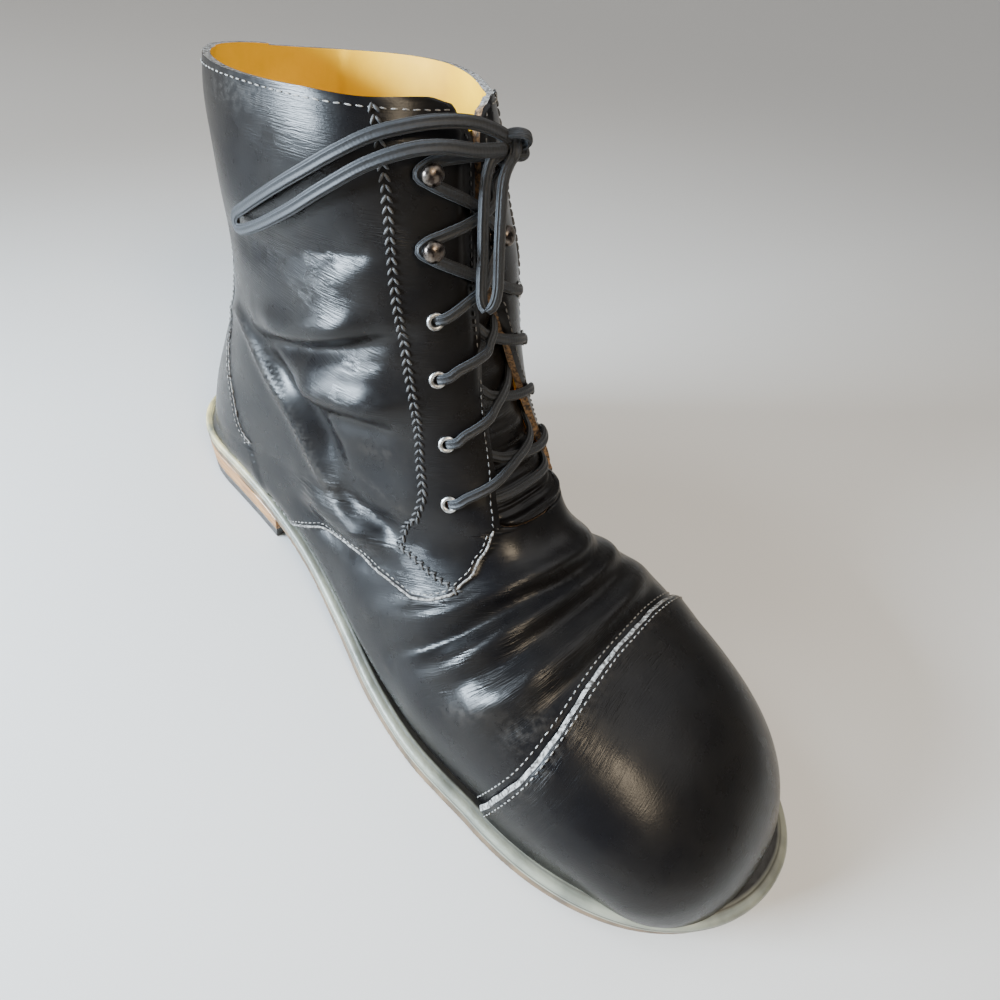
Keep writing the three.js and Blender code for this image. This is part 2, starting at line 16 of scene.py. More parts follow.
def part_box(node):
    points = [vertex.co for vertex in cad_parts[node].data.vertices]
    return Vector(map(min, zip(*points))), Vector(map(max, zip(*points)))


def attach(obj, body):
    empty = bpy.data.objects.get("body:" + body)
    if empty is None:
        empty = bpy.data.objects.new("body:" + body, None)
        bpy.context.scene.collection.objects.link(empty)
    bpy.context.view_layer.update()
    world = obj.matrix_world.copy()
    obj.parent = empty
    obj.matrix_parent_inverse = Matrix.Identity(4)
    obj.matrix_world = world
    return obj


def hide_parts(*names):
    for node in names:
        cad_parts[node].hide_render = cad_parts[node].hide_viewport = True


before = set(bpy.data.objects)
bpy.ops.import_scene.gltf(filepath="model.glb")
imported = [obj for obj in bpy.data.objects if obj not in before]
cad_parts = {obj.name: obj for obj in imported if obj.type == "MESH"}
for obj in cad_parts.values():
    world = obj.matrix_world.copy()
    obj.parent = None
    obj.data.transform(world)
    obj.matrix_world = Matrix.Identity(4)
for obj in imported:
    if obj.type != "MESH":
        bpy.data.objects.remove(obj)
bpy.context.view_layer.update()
rng = np.random.default_rng(7)

# %% [markdown]
# ## The sizes of the last
# A boot is made over a last, and a last is known by its sections. The upper here is a
# fan of sections: level across the shaft, tilted over the heel, upright across the ball
# and folded forward round the toe. The table below is the same one that the frame was
# made from, so a place on the leather can be named by its section and its distance from
# the ridge (the line down the middle of the front). All lengths in the tables are in
# millimetres from the back of the heel.

# %% Driving sizes
MM = 0.001
LENGTH = 300.0
WALL = 2.6
GAP = 0.3
CAP = 1.6
WELT = 4.4
TOP_LIFT = 6.0
HEEL_END = 85.0
HEEL_TAPER = 3.0
LATERAL = -1
MEDIAL = 1

# x, lateral half width, medial half width
PLAN = np.array([
    (40, 39.0, 37.5), (75, 39.0, 35.5), (110, 40.5, 34.0), (140, 46.0, 38.5),
    (170, 53.5, 48.0), (195, 56.8, 55.0), (222, 55.5, 56.5),
])
TIP_Y = 6.0
FEATHER_HEEL, FEATHER_TOE = 7.0, 7.5    # how far the feather line lies in from heel and toe
HEEL_POWER = 2.25
TOE_POWER = 2.1

# x, tread face, feather line
SIDE = np.array([
    (0, 0, 27.5), (40, 0, 27), (75, 0, 25.8), (100, 8, 21.8), (125, 4, 16.7), (150, 0.8, 12.8),
    (175, 0, 10.9), (200, 0, 10.5), (225, 0.6, 11), (250, 2.8, 13), (275, 6.5, 16.5), (300, 12, 21.5),
])
# x, underside of the outsole where the heel block takes over
SHANK = np.array([(0, 18.5), (60, 17.6), (84, 15.6), (106, 11.2), (125, 6.8), (145, 2.6), (165, 0), (200, 0)])

# frontX, frontZ, backX, backZ, lateral, medial, widest, frontPower, backPower, ridgeY
ROWS = np.array([
    (118.2, 202.3, 14.2, 193.2, 44.0, 46.0, 0.500, 2.51, 2.2, 0.0),
    (125.0, 188.5, 15.0, 180.5, 45.0, 46.1, 0.500, 2.52, 2.2, 0.1),
    (131.0, 169.5, 17.5, 162.5, 44.0, 45.1, 0.500, 2.44, 2.2, 0.1),
    (138.0, 150.7, 19.5, 145.5, 42.5, 43.3, 0.500, 2.49, 2.2, 0.2),
    (145.0, 134.9, 21.5, 128.0, 40.5, 41.1, 0.505, 2.45, 2.2, 1.3),
    (151.3, 121.2, 21.5, 110.5, 39.0, 40.2, 0.520, 2.56, 2.2, 1.5),
    (157.0, 110.2, 19.0, 93.0, 38.0, 40.0, 0.555, 2.70, 2.2, 2.7),
    (161.8, 102.3, 14.2, 76.5, 37.5, 40.7, 0.600, 2.88, 2.2, 4.0),
    (166.2, 96.6, 10.2, 62.5, 37.0, 41.3, 0.645, 3.07, 2.2, 4.8),
    (170.0, 92.3, 7.8, 50.5, 37.0, 42.1, 0.680, 3.24, 2.2, 5.6),
    (173.3, 89.1, 6.9, 39.7, 37.0, 42.7, 0.705, 3.36, 2.2, 6.3),
    (176.2, 86.6, 6.8, 31.9, 37.0, 43.1, 0.725, 3.40, 2.2, 6.9),
    (178.8, 84.2, 7.0, 27.7, 37.0, 42.8, 0.742, 3.37, 2.2, 7.0),
    (181.3, 81.7, 10.5, 27.5, 37.0, 42.1, 0.760, 3.26, 2.2, 6.9),
    (184.0, 79.4, 21.0, 27.3, 37.3, 41.3, 0.780, 3.12, 2.2, 6.8),
    (187.0, 77.3, 38.0, 27.0, 37.8, 40.7, 0.803, 2.98, 2.2, 6.6),
    (190.5, 75.4, 62.0, 26.3, 38.3, 40.6, 0.828, 2.84, 2.2, 6.3),
    (194.8, 73.8, 91.0, 23.7, 39.5, 40.9, 0.852, 2.75, 2.2, 6.0),
    (200.0, 71.9, 122.0, 17.3, 42.5, 42.9, 0.870, 2.74, 2.2, 5.7),
    (206.5, 69.7, 155.0, 12.8, 49.0, 47.2, 0.875, 2.75, 2.2, 5.5),
    (215.0, 66.8, 186.0, 10.6, 53.0, 53.0, 0.860, 2.74, 2.2, 5.3),
    (226.0, 63.5, 211.0, 10.6, 52.5, 54.3, 0.840, 2.69, 2.2, 5.2),
    (238.5, 59.8, 231.0, 11.4, 49.5, 51.7, 0.820, 2.60, 2.2, 5.1),
    (252.0, 55.7, 244.5, 12.5, 45.5, 47.1, 0.800, 2.49, 2.2, 5.1),
    (266.0, 50.1, 252.0, 13.2, 43.0, 43.6, 0.800, 2.39, 2.2, 5.0),
    (277.5, 43.1, 256.5, 13.7, 41.0, 40.8, 0.830, 2.31, 2.2, 5.0),
    (286.0, 34.7, 259.5, 14.1, 39.0, 38.4, 0.880, 2.25, 2.2, 5.0),
    (291.0, 26.1, 261.5, 14.4, 37.5, 36.7, 0.945, 2.17, 2.2, 5.5),
    (292.5, 19.6, 263.0, 14.7, 36.5, 35.6, 0.990, 2.16, 2.2, 6.0),
])
LAST_ROW = len(ROWS) - 1
HEEL_SEAT_ROW = 12
# the medial facing is drawn in at the top: section, share of the front's roundness there
DRAWN_IN = np.array([(0, 0.62), (1, 0.66), (2, 0.8), (3.2, 1), (28, 1)])

# section, lateral distance, medial distance
EYELETS = [(9.8, 33, 39), (6.45, 25, 30), (4.6, 23, 25), (3.4, 21, 22)]
HOOKS = [(2.25, 21, 7.5), (1.2, 21, 7.5)]
THROAT = np.array([
    (0, 1.8, 1.8), (2, 1.8, 1.8), (4, 4, 8), (6, 8, 18), (8, 12, 25), (10, 17, 29), (13, 21, 32),
])
THROAT_END = 13.4
EYELET_HOLE = 1.75
COLLAR_ROUND = 14.0
CAP_SEAM = 21.0
LACE_WIDTH = 4.0
LACE_THICK = 2.2

# %% [markdown]
# ## From numbers to places on the leather
# Blender has no tool that sweeps a section whose roundness changes, so the sections are
# worked out with a few short functions. Each half section runs from the ridge down to the
# heel or to the feather line, where upper meets sole. They are stored as one fine net of
# points, and `leather()` reads a place, and the outward direction there, from that net.


# %% Curves through a table
def smooth(x, low, high):
    """From 0 at low to 1 at high, with soft ends."""
    t = np.clip((np.asarray(x, float) - low) / (high - low), 0, 1)
    return t * t * (3 - 2 * t)


def along(table, x, column):
    """A smooth curve through the rows of a table whose first column is x."""
    xs, ys = table[:, 0], table[:, column]
    x = np.clip(np.asarray(x, float), xs[0], xs[-1])
    slope = np.empty_like(ys)
    slope[1:-1] = (ys[2:] - ys[:-2]) / (xs[2:] - xs[:-2])
    slope[0] = (ys[1] - ys[0]) / (xs[1] - xs[0])
    slope[-1] = (ys[-1] - ys[-2]) / (xs[-1] - xs[-2])
    i = np.clip(np.searchsorted(xs, x) - 1, 0, len(xs) - 2)
    step = xs[i + 1] - xs[i]
    t = (x - xs[i]) / step
    u = 1 - t
    return (u * u * (1 + 2 * t) * ys[i] + t * t * (3 - 2 * t) * ys[i + 1]
            + step * t * u * (u * slope[i] - t * slope[i + 1]))


def run_of(line):
    """Length run along a line, up to each of its points."""
    return np.r_[0, np.cumsum(np.linalg.norm(np.diff(line, axis=0), axis=1))]


def length_of(line):
    return float(np.linalg.norm(np.diff(line, axis=0), axis=1).sum())


def at_runs(line, run, at):
    return np.stack([np.interp(at, run, line[:, k]) for k in range(line.shape[1])], 1)


def equal_steps(line, run, step):
    """The line again, with its points at equal steps along its run."""
    return at_runs(line, run, np.linspace(0, run[-1], max(int(run[-1] / step), 2) + 1))


def half_width(x, side, back=0.0, rim=0.0, tip=0.0):
    """Plan of the sole, drawn in by the given margins."""
    x = np.asarray(x, float)
    heel_x, toe_x = PLAN[0, 0], PLAN[-1, 0]
    width = along(PLAN, x, 1 if side == LATERAL else 2) - rim
    d = np.clip((heel_x - x) / (heel_x - back), 0, 1)
    heel = width * (1 - d ** HEEL_POWER) ** (1 / HEEL_POWER)
    d = np.clip((x - toe_x) / (LENGTH - tip - toe_x), 0, 1)
    middle = TIP_Y * side * (1 - (1 - d) ** 2)
    toe = (width - middle) * (1 - d ** TOE_POWER) ** (1 / TOE_POWER) + middle
    return np.where(x < heel_x, heel, toe)


def feather_half(x, side, inward=0.0):
    rim = 3.3 + (5.2 - 3.3) * smooth(x, 90, 190)
    return half_width(x, side, FEATHER_HEEL + inward, rim + inward, FEATHER_TOE + inward)


def feather_z(x):
    return along(SIDE, x, 2)


print("widest place of the sole, mm:", round(float(half_width(205, LATERAL) + half_width(205, MEDIAL)), 1))

# %% The row's frame: its origin lies under the middle of the boot
welt_low, welt_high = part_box("welt")
widest_lateral = float(half_width(np.linspace(150, 250, 401), LATERAL).max())
ORIGIN = np.array([
    LENGTH / 2 - (welt_low.x + welt_high.x) / 2 / MM,
    -widest_lateral - welt_low.y / MM,
    0.0,
])


def to_row(points):
    """From millimetres, measured from the back of the heel, to metres in the frame."""
    return (np.asarray(points, float) - ORIGIN) * MM


print("origin of the frame, mm from the heel:", ORIGIN.round(2))


# %% The sections of the last
def row_at(s):
    i = int(np.clip(math.floor(s), 0, LAST_ROW - 1))
    t = s - i
    p1, p2 = ROWS[i], ROWS[i + 1]
    p0 = ROWS[i - 1] if i > 0 else 2 * p1 - p2
    p3 = ROWS[i + 2] if i < LAST_ROW - 1 else 2 * p2 - p1
    square = 2 * p0 - 5 * p1 + 4 * p2 - p3
    cube = 3 * p1 - p0 - 3 * p2 + p3
    return 0.5 * (2 * p1 + (p2 - p0) * t + square * t * t + cube * t ** 3)


def section(s, side):
    """Half a section, from the ridge to the heel or the feather line, at equal steps."""
    count = 90                      # points on each of its two arcs
    front_x, front_z, back_x, back_z, lateral, medial, widest, front_power, back_power, ridge_y = row_at(s)
    foot = max(float(feather_half(back_x, side)), 0.0) if s > HEEL_SEAT_ROW else 0.0
    foot = foot if foot > 0.5 else 0.0
    width = max(lateral if side == LATERAL else medial, foot * 1.005)
    end = math.acos(min(1.0, (foot / width) ** (back_power / 2)))
    ridge = ridge_y * side
    if side == MEDIAL:
        front_power = front_power * float(along(DRAWN_IN, s, 1))
    a = np.linspace(0, math.pi / 2, count)
    t_front = widest * (1 - np.cos(a) ** (2 / front_power))
    y_front = ridge + (width - ridge) * np.sin(a) ** (2 / front_power)
    b = np.linspace(0, end, count)[1:]
    reach = max(math.sin(end), 1e-9)
    t_back = widest + (1 - widest) * (np.sin(b) / reach) ** (2 / back_power)
    if end < 0.02:
        t_back = widest + (1 - widest) * np.linspace(0, 1, count)[1:]
    y_back = width * np.cos(b) ** (2 / back_power)
    t = np.r_[t_front, t_back]
    y = np.r_[y_front, y_back] * side
    line = np.stack([front_x + (back_x - front_x) * t, y, front_z + (back_z - front_z) * t], 1)
    run = run_of(line)
    return at_runs(line, run, np.linspace(0, run[-1], NET_STEPS + 1)), run[-1]


# %% The net of the last: both sides of every section, with outward directions
NET_STEPS = 120
NET_FINE = 10                       # net lines per row of the table
net_s = np.linspace(0, LAST_ROW, LAST_ROW * NET_FINE + 1)
sheets = {}
lengths = {}
for side in (LATERAL, MEDIAL):
    lines, runs = zip(*(section(s, side) for s in net_s))
    sheets[side], lengths[side] = np.array(lines), np.array(runs)
    # the sections change their footing at the heel seat: the leather rounds over it
    calm = smooth(net_s, 9.5, 11.5) * (1 - smooth(net_s, 13.5, 16))
    low = 1 - smooth(np.linspace(0, 1, NET_STEPS + 1), 0.86, 0.99)
    weight = calm[:, None, None] * low[None, :, None]
    for _ in range(60):
        soft = sheets[side].copy()
        soft[1:-1] = (sheets[side][:-2] + 2 * sheets[side][1:-1] + sheets[side][2:]) / 4
        sheets[side] = sheets[side] * (1 - weight) + soft * weight

normals = {}
for side in (LATERAL, MEDIAL):
    both = np.concatenate([sheets[-side][:, :0:-1], sheets[side]], axis=1)
    out = np.cross(np.gradient(both, axis=1), np.gradient(both, axis=0)) * -side
    out = out[:, NET_STEPS:]
    normals[side] = out / np.maximum(np.linalg.norm(out, axis=2, keepdims=True), 1e-9)
print("half section round the heel, mm:", lengths[LATERAL][100].round(1))


# %% Reading the net
def read(net, s, share):
    i = np.clip(s * NET_FINE, 0, len(net_s) - 1.001)
    j = np.clip(share * NET_STEPS, 0, NET_STEPS - 0.001)
    i0, j0 = i.astype(int), j.astype(int)
    a, b = (i - i0)[..., None], (j - j0)[..., None]
    return ((1 - a) * ((1 - b) * net[i0, j0] + b * net[i0, j0 + 1])
            + a * ((1 - b) * net[i0 + 1, j0] + b * net[i0 + 1, j0 + 1]))


def run_length(s, side):
    """Length of a half section, in millimetres."""
    return np.interp(s, net_s, lengths[side])


def leather(s, distance, lift=0.0):
    """Places on the leather in millimetres, and the outward direction there.
    The distance from the ridge is negative on the medial side."""
    s, distance, lift = np.broadcast_arrays(*(np.asarray(v, float) for v in (s, distance, lift)))
    place, out = np.zeros(s.shape + (3,)), np.zeros(s.shape + (3,))
    for side, chosen in ((LATERAL, distance >= 0), (MEDIAL, distance < 0)):
        share = np.abs(distance) / run_length(s, side)
        place[chosen] = read(sheets[side], s, share)[chosen]
        out[chosen] = read(normals[side], s, share)[chosen]
    out /= np.maximum(np.linalg.norm(out, axis=-1, keepdims=True), 1e-9)
    return place + out * lift[..., None], out


# %% [markdown]
# ## The camera
# The boot is seen from above its lateral side, with the camera rolled a little. The
# camera is made first, so that every later piece is judged in the same view. Its place
# and its three angles are named, and its lens takes in the whole boot.

# %% Camera
CAMERA_PLACE = (243.1, -153.1, 243.1)
AZIMUTH, ELEVATION, ROLL = math.radians(39.8), math.radians(37.2), math.radians(11.2)
LENS = 23.0
SHIFT = (0.092, -0.104)

level = math.cos(ELEVATION)
back = Vector((math.sin(AZIMUTH) * level, -math.cos(AZIMUTH) * level, math.sin(ELEVATION)))
right = Vector((math.cos(AZIMUTH), math.sin(AZIMUTH), 0))
up = back.cross(right)
turned_right = math.cos(ROLL) * right + math.sin(ROLL) * up
turned_up = -math.sin(ROLL) * right + math.cos(ROLL) * up
turn = Matrix((turned_right, turned_up, back)).transposed().to_4x4()
bpy.ops.object.select_all(action="DESELECT")
bpy.ops.object.camera_add()
camera = bpy.context.object
camera.name = "camera"
camera.matrix_world = Matrix.Translation(Vector(to_row(CAMERA_PLACE))) @ turn
camera.data.lens = LENS
camera.data.sensor_width = 36.0
camera.data.shift_x, camera.data.shift_y = SHIFT
camera.data.clip_start = 0.01
bpy.context.scene.camera = camera
print("camera at", [round(v, 3) for v in camera.location])

# %% [markdown]
# ## Tools for finishing a piece
# Every new piece ends the same way: its object at the origin, riding on the root body,
# with one material and smooth shading. Grids are Blender's own grid primitive, whose
# vertices are then laid on the last, so each piece also has an orderly UV map.


# %% Finishing
def material_of(name):
    made = bpy.data.materials.new(name)
    made.use_nodes = True
    return made, made.node_tree, made.node_tree.nodes["Principled BSDF"]


def pick(piece):
    """Make the piece the active one, and the only one that is selected."""
    bpy.ops.object.select_all(action="DESELECT")
    piece.select_set(True)
    bpy.context.view_layer.objects.active = piece


def finish(piece, name, finishes, stands_for=(), angle=60):
    """Name the piece, give it its materials and smooth shading, hang it on the root body, and hide the frame
    parts it stands for.
    """
    piece.name = name
    piece.data.name = name
    order = np.zeros(len(piece.data.polygons), np.int32)
    piece.data.polygons.foreach_get("material_index", order)
    piece.data.materials.clear()
    for entry in finishes:
        piece.data.materials.append(entry)
    piece.data.polygons.foreach_set("material_index", np.minimum(order, len(finishes) - 1).astype(np.int32))
    pick(piece)
    bpy.ops.object.shade_smooth_by_angle(angle=math.radians(angle))
    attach(piece, "root")
    if stands_for:
        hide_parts(*stands_for)
    triangles = sum(len(face.vertices) - 2 for face in piece.data.polygons)
    print(f"{name}: {triangles} triangles")
    return piece


def lay_grid(columns, rows, places, uv=None):
    """A grid primitive whose vertices go to places[row, column], in millimetres."""
    bpy.ops.object.select_all(action="DESELECT")
    bpy.ops.mesh.primitive_grid_add(x_subdivisions=columns - 1, y_subdivisions=rows - 1, size=1)
    piece = bpy.context.object
    piece.data.vertices.foreach_set("co", to_row(places.reshape(-1, 3)).astype(np.float32).ravel())
    if uv is not None:
        corners = np.zeros(len(piece.data.loops), np.int32)
        piece.data.loops.foreach_get("vertex_index", corners)
        flat = uv.reshape(-1, 2)[corners]
        piece.data.uv_layers[0].data.foreach_set("uv", flat.astype(np.float32).ravel())
    piece.data.update()
    return piece


def add_attribute(piece, name, values):
    layer = piece.data.attributes.new(name, "FLOAT", "POINT")
    layer.data.foreach_set("value", np.asarray(values, np.float32).ravel())


def merge(piece, distance=0.00002):
    pick(piece)
    bpy.ops.object.mode_set(mode="EDIT")
    bpy.ops.mesh.select_all(action="SELECT")
    bpy.ops.mesh.remove_doubles(threshold=distance)
    bpy.ops.object.mode_set(mode="OBJECT")


def cut_away(piece, chosen):
    """Delete the chosen faces, as by hand in edit mode."""
    bpy.ops.object.mode_set(mode="EDIT")
    bpy.ops.mesh.select_mode(type="FACE")
    bpy.ops.mesh.select_all(action="DESELECT")
    bpy.ops.object.mode_set(mode="OBJECT")
    piece.data.polygons.foreach_set("select", np.asarray(chosen, bool))
    bpy.ops.object.mode_set(mode="EDIT")
    bpy.ops.mesh.delete(type="FACE")
    bpy.ops.object.mode_set(mode="OBJECT")


def face_middles(piece):
    middles = np.zeros(len(piece.data.polygons) * 3, np.float32)
    piece.data.polygons.foreach_get("center", middles)
    return middles.reshape(-1, 3)


def face_outward(piece):
    pick(piece)
    bpy.ops.object.mode_set(mode="EDIT")
    bpy.ops.mesh.select_all(action="SELECT")
    bpy.ops.mesh.normals_make_consistent(inside=False)
    bpy.ops.object.mode_set(mode="OBJECT")


def thicken(piece, thickness, inside=0, rim=0):
    pick(piece)
    while len(piece.data.materials) < 3:
        piece.data.materials.append(None)
    wall = piece.modifiers.new("wall", "SOLIDIFY")
    wall.thickness = thickness * MM
    wall.offset = -1
    wall.use_even_offset = False
    wall.material_offset = inside
    wall.material_offset_rim = rim
    bpy.ops.object.modifier_apply(modifier=wall.name)


def inner_skin(piece, thickness):
    """Put the wall's inner points straight under the outer ones, along the last's own directions."""
    count = len(piece.data.vertices) // 2
    places, outs = np.zeros(count * 6), np.zeros(count * 6)
    piece.data.vertices.foreach_get("co", places)
    piece.data.attributes["outward"].data.foreach_get("vector", outs)
    places, outs = places.reshape(-1, 3), outs.reshape(-1, 3)
    places[count:] = places[:count] - outs[:count] * thickness * MM
    piece.data.vertices.foreach_set("co", places.ravel())
    piece.data.attributes.remove(piece.data.attributes["outward"])
    piece.data.update()


# %% Swept strips: laces, raw edges and cords share one function
def spline(points, step):
    """A smooth line through the points, resampled at equal steps."""
    points = np.asarray(points, float)
    ends = np.vstack([2 * points[0] - points[1], points, 2 * points[-1] - points[-2]])
    pieces = []
    for i in range(1, len(ends) - 2):
        t = np.linspace(0, 1, 24, endpoint=False)[:, None]
        p0, p1, p2, p3 = ends[i - 1:i + 3]
        pieces.append(0.5 * (2 * p1 + (p2 - p0) * t + (2 * p0 - 5 * p1 + 4 * p2 - p3) * t ** 2
                             + (3 * p1 - p0 - 3 * p2 + p3) * t ** 3))
    line = np.vstack(pieces + [points[-1:]])
    return equal_steps(line, run_of(line[:, :3]), step)


def laid_on(surface, route, step):
    """A route of (section, distance, lift) as places and outward directions on a surface."""
    place, out = surface(*spline(route, 0.05).T)
    both = equal_steps(np.hstack([place, out]), run_of(place), step)
    return both[:, :3], both[:, 3:]


def on_last(route, step):
    return laid_on(leather, route, step)


def oval(width, thick, sides, square):
    """A flat oval profile; the smaller square is, the boxier it gets."""
    turn = np.arange(sides) / sides * 2 * math.pi
    across = np.sign(np.cos(turn)) * np.abs(np.cos(turn)) ** square * width / 2
    high = np.sign(np.sin(turn)) * np.abs(np.sin(turn)) ** square * thick / 2
    return np.stack([across, high], 1)


def sweep(places, outs, profile):
    """A mesh of the profile (across, high) carried along the line, with round ends."""
    along_line = np.gradient(places, axis=0)
    along_line /= np.maximum(np.linalg.norm(along_line, axis=1, keepdims=True), 1e-9)
    wanted = np.cross(along_line, outs)
    lying = np.linalg.norm(wanted, axis=1)
    wanted /= np.maximum(lying[:, None], 1e-9)
    across = wanted.copy()
    # from the flattest place outward, so that a strand that dives keeps its turn
    start = len(places) // 4 + int(np.argmax(lying[len(places) // 4: 3 * len(places) // 4 + 1]))
    for order in (range(start + 1, len(places)), range(start - 1, -1, -1)):
        previous = across[start]
        for i in order:
            kept = previous - along_line[i] * (previous @ along_line[i])
            share = 0.6 * float(smooth(lying[i], 0.35, 0.85))
            previous = (1 - share) * kept + share * wanted[i] * (1 if wanted[i] @ kept >= 0 else -1)
            previous /= max(np.linalg.norm(previous), 1e-9)
            across[i] = previous
    high = np.cross(across, along_line)
    shrink = np.ones(len(places))
    shrink[[0, -1]] = 0.55
    rings = (places[:, None] + (across[:, None] * profile[None, :, :1]
             + high[:, None] * profile[None, :, 1:]) * shrink[:, None, None])
    count, sides = rings.shape[:2]
    index = np.arange(count * sides).reshape(count, sides)
    following = np.roll(index, -1, axis=1)
    faces = np.stack([index[:-1], index[1:], following[1:], following[:-1]], -1).reshape(-1, 4).tolist()
    faces += [index[0].tolist(), index[-1][::-1].tolist()]
    lengthwise = np.repeat(run_of(places), sides)
    crosswise = np.tile(np.arange(sides) / sides, count)
    return rings.reshape(-1, 3), faces, np.stack([lengthwise, crosswise], 1)


def mesh_piece(parts):
    """One object from several swept meshes, with their run lengths as attributes."""
    vertices, faces, marks, start = [], [], [], 0
    for points, quads, marked in parts:
        vertices.append(points)
        marks.append(marked)
        faces += [[start + v for v in face] for face in quads]
        start += len(points)
    mesh = bpy.data.meshes.new("piece")
    mesh.from_pydata(to_row(np.vstack(vertices)).tolist(), [], faces)
    piece = bpy.data.objects.new("piece", mesh)
    bpy.context.scene.collection.objects.link(piece)
    marks = np.vstack(marks)
    add_attribute(piece, "run", marks[:, 0] * MM)
    add_attribute(piece, "round", marks[:, 1])
    face_outward(piece)
    return piece

# %% [markdown]
# ## Creases, seams and panels
# Worn leather folds where the foot bends it: across the shaft above the ankle, over the
# instep, and across the vamp behind the toe cap. Each fold below is one soft trough or
# ridge with its own width and height in millimetres, and its route is given as sections
# and distances from the ridge, so the folds could be drawn on a real boot with a tape
# measure. The overlapping panels are small steps in the same relief.

# %% The folds: width, height, then the route as (section, distance)
FOLDS = [
    (7.0, -1.9, [(3.3, 114), (3.1, 86), (2.85, 66), (2.5, 50), (2.3, 38)]),
    (6.5, 2.4, [(5.0, 104), (4.55, 80), (4.15, 63), (3.85, 50), (3.6, 38)]),
    (3.6, -2.6, [(5.55, 106), (5.15, 80), (4.7, 63), (4.3, 50), (3.95, 39), (3.8, 31)]),
    (7.0, 2.7, [(6.2, 90), (5.9, 70), (5.75, 57), (5.6, 45), (5.4, 34)]),
    (6.0, -2.8, [(5.7, 112), (6.25, 98), (6.7, 89), (7.6, 83), (9.2, 80), (10.6, 79)]),
    (4.5, -1.6, [(7.0, 82), (6.75, 66), (6.55, 52), (6.5, 41)]),
    (3.0, 1.3, [(5.9, 147), (5.5, 122), (6.9, 104), (8.5, 96), (12.9, 88), (15.6, 81)]),
    (8.5, 2.2, [(13.3, 108), (14.5, 97), (15.2, 86), (15.7, 74), (15.8, 66)]),
    (5.0, -1.5, [(12.4, 88), (13.4, 78), (14.4, 66), (15.0, 56)]),
    (5.0, -1.7, [(16.0, 116), (16.75, 100), (16.9, 84), (16.8, 70)]),
    (2.0, -0.7, [(2.75, 60), (2.55, 48), (2.4, 37)]),
    (2.2, -0.7, [(4.85, 60), (4.6, 48), (4.35, 38)]),
    (4.5, 1.5, [(18.3, 88), (18.2, 66), (17.95, 45), (17.6, 28), (17.5, 12), (17.9, -6), (18.0, -30)]),
    (3.8, -2.5, [
        (19.0, 86), (18.85, 68), (18.6, 52), (18.2, 34), (18.05, 20), (18.3, 6), (18.5, -12), (18.5, -34),
    ]),
    (4.5, 1.5, [(19.3, 74), (19.15, 55), (18.95, 36), (18.85, 18), (19.0, 0), (19.1, -24), (19.0, -48)]),
    (5.5, -1.9, [(19.7, 64), (19.55, 45), (19.45, 28), (19.5, 10), (19.6, -10), (19.5, -36)]),
    (6.0, 1.7, [(20.1, 62), (20.2, 46), (20.15, 30), (20.3, 14), (20.3, -10), (20.2, -36)]),
    (4.0, -1.1, [(20.65, 58), (20.8, 42), (20.85, 26), (20.8, 8), (20.8, -14), (20.7, -36)]),
    (6.0, 1.6, [(3.2, -100), (2.9, -70), (2.7, -40)]),
    (4.5, -2.2, [(3.9, -104), (3.6, -72), (3.4, -44)]),
    (7.0, 2.3, [(4.9, -98), (4.5, -68), (4.3, -40)]),
    (4.5, -2.1, [(6.2, -106), (5.7, -76), (5.3, -48)]),
    (8.0, 1.9, [(8.8, -104), (7.6, -80), (7.0, -60)]),
    (5.5, -1.8, [(11.5, -104), (10.6, -84), (9.8, -64)]),
    (7.0, 1.6, [(14.6, -96), (14.4, -80), (14.2, -62)]),
    (4.5, -1.8, [(17.0, -98), (17.2, -78), (17.3, -60)]),
    (4.5, 1.4, [(18.2, -90), (18.2, -70), (18.2, -50)]),
    (4.0, -1.8, [(19.0, -82), (18.9, -62), (18.8, -44)]),
]
FOLD_DEPTH = 1.75
# section, distance, radius, height of broad hollows and swellings
LUMPS = [
    (17.9, 92, 15, 1.8), (19.6, 84, 12, 1.4), (1.2, 70, 26, -0.7), (2.2, 96, 18, 1.3), (8.6, 58, 16, -1.6),
    (10.6, 52, 13, 1.1), (0.6, 120, 20, 1.0), (7.4, 128, 22, 0.9), (15.5, 30, 12, -1.0), (1.4, -70, 24, -1.4),
    (8.8, -60, 18, -1.5), (17.6, -92, 14, 1.4), (2.4, -110, 20, 1.2),
]

# the lower edge of the quarter on the vamp: distance, section
QUARTER = np.array([
    (22, 12.6), (27, 14.7), (36, 16.7), (47, 17.6), (56, 17.8), (64, 17.8), (73, 17.4),
    (85, 17.0), (96, 16.8), (109, 16.7), (128, 17.0), (150, 17.3),
])
MEDIAL_SHIFT = 10.0
# the edge of the backstay: section, distance
BACKSTAY = np.array([(5.7, 146), (7.1, 145), (8.6, 145), (10.4, 149), (12.8, 147)])
EYESTAY = [
    (0.2, 33), (1.0, 33), (1.8, 32), (2.6, 32), (3.4, 32), (4.4, 32), (5.4, 32), (6.4, 34),
    (7.5, 37), (9.3, 41), (11.4, 48), (13.6, 55), (15.7, 61),
]
EYESTAY_FOOT = [(15.7, 61), (16.3, 56), (17.0, 50), (17.45, 44.5)]
QUARTER_STEP = 1.3
BACKSTAY_STEP = 0.8


# %% Where the panels end
def quarter_section(distance):
    """The section at which the quarter ends, at a distance from the ridge."""
    distance = np.asarray(distance, float)
    away = np.abs(distance)
    shifted = away - np.where(distance < 0, MEDIAL_SHIFT, 0) * (1 - smooth(away, 50, 115))
    return np.interp(shifted, QUARTER[:, 0], QUARTER[:, 1])


def backstay_distance(s, side):
    top = float(run_length(BACKSTAY[0, 0], LATERAL)) - BACKSTAY[0, 1]
    low = np.interp(s, BACKSTAY[:, 0], BACKSTAY[:, 1])
    return np.where(s < BACKSTAY[0, 0], run_length(s, side) - top, low)


ridge_run = run_of(sheets[LATERAL][:, 0])


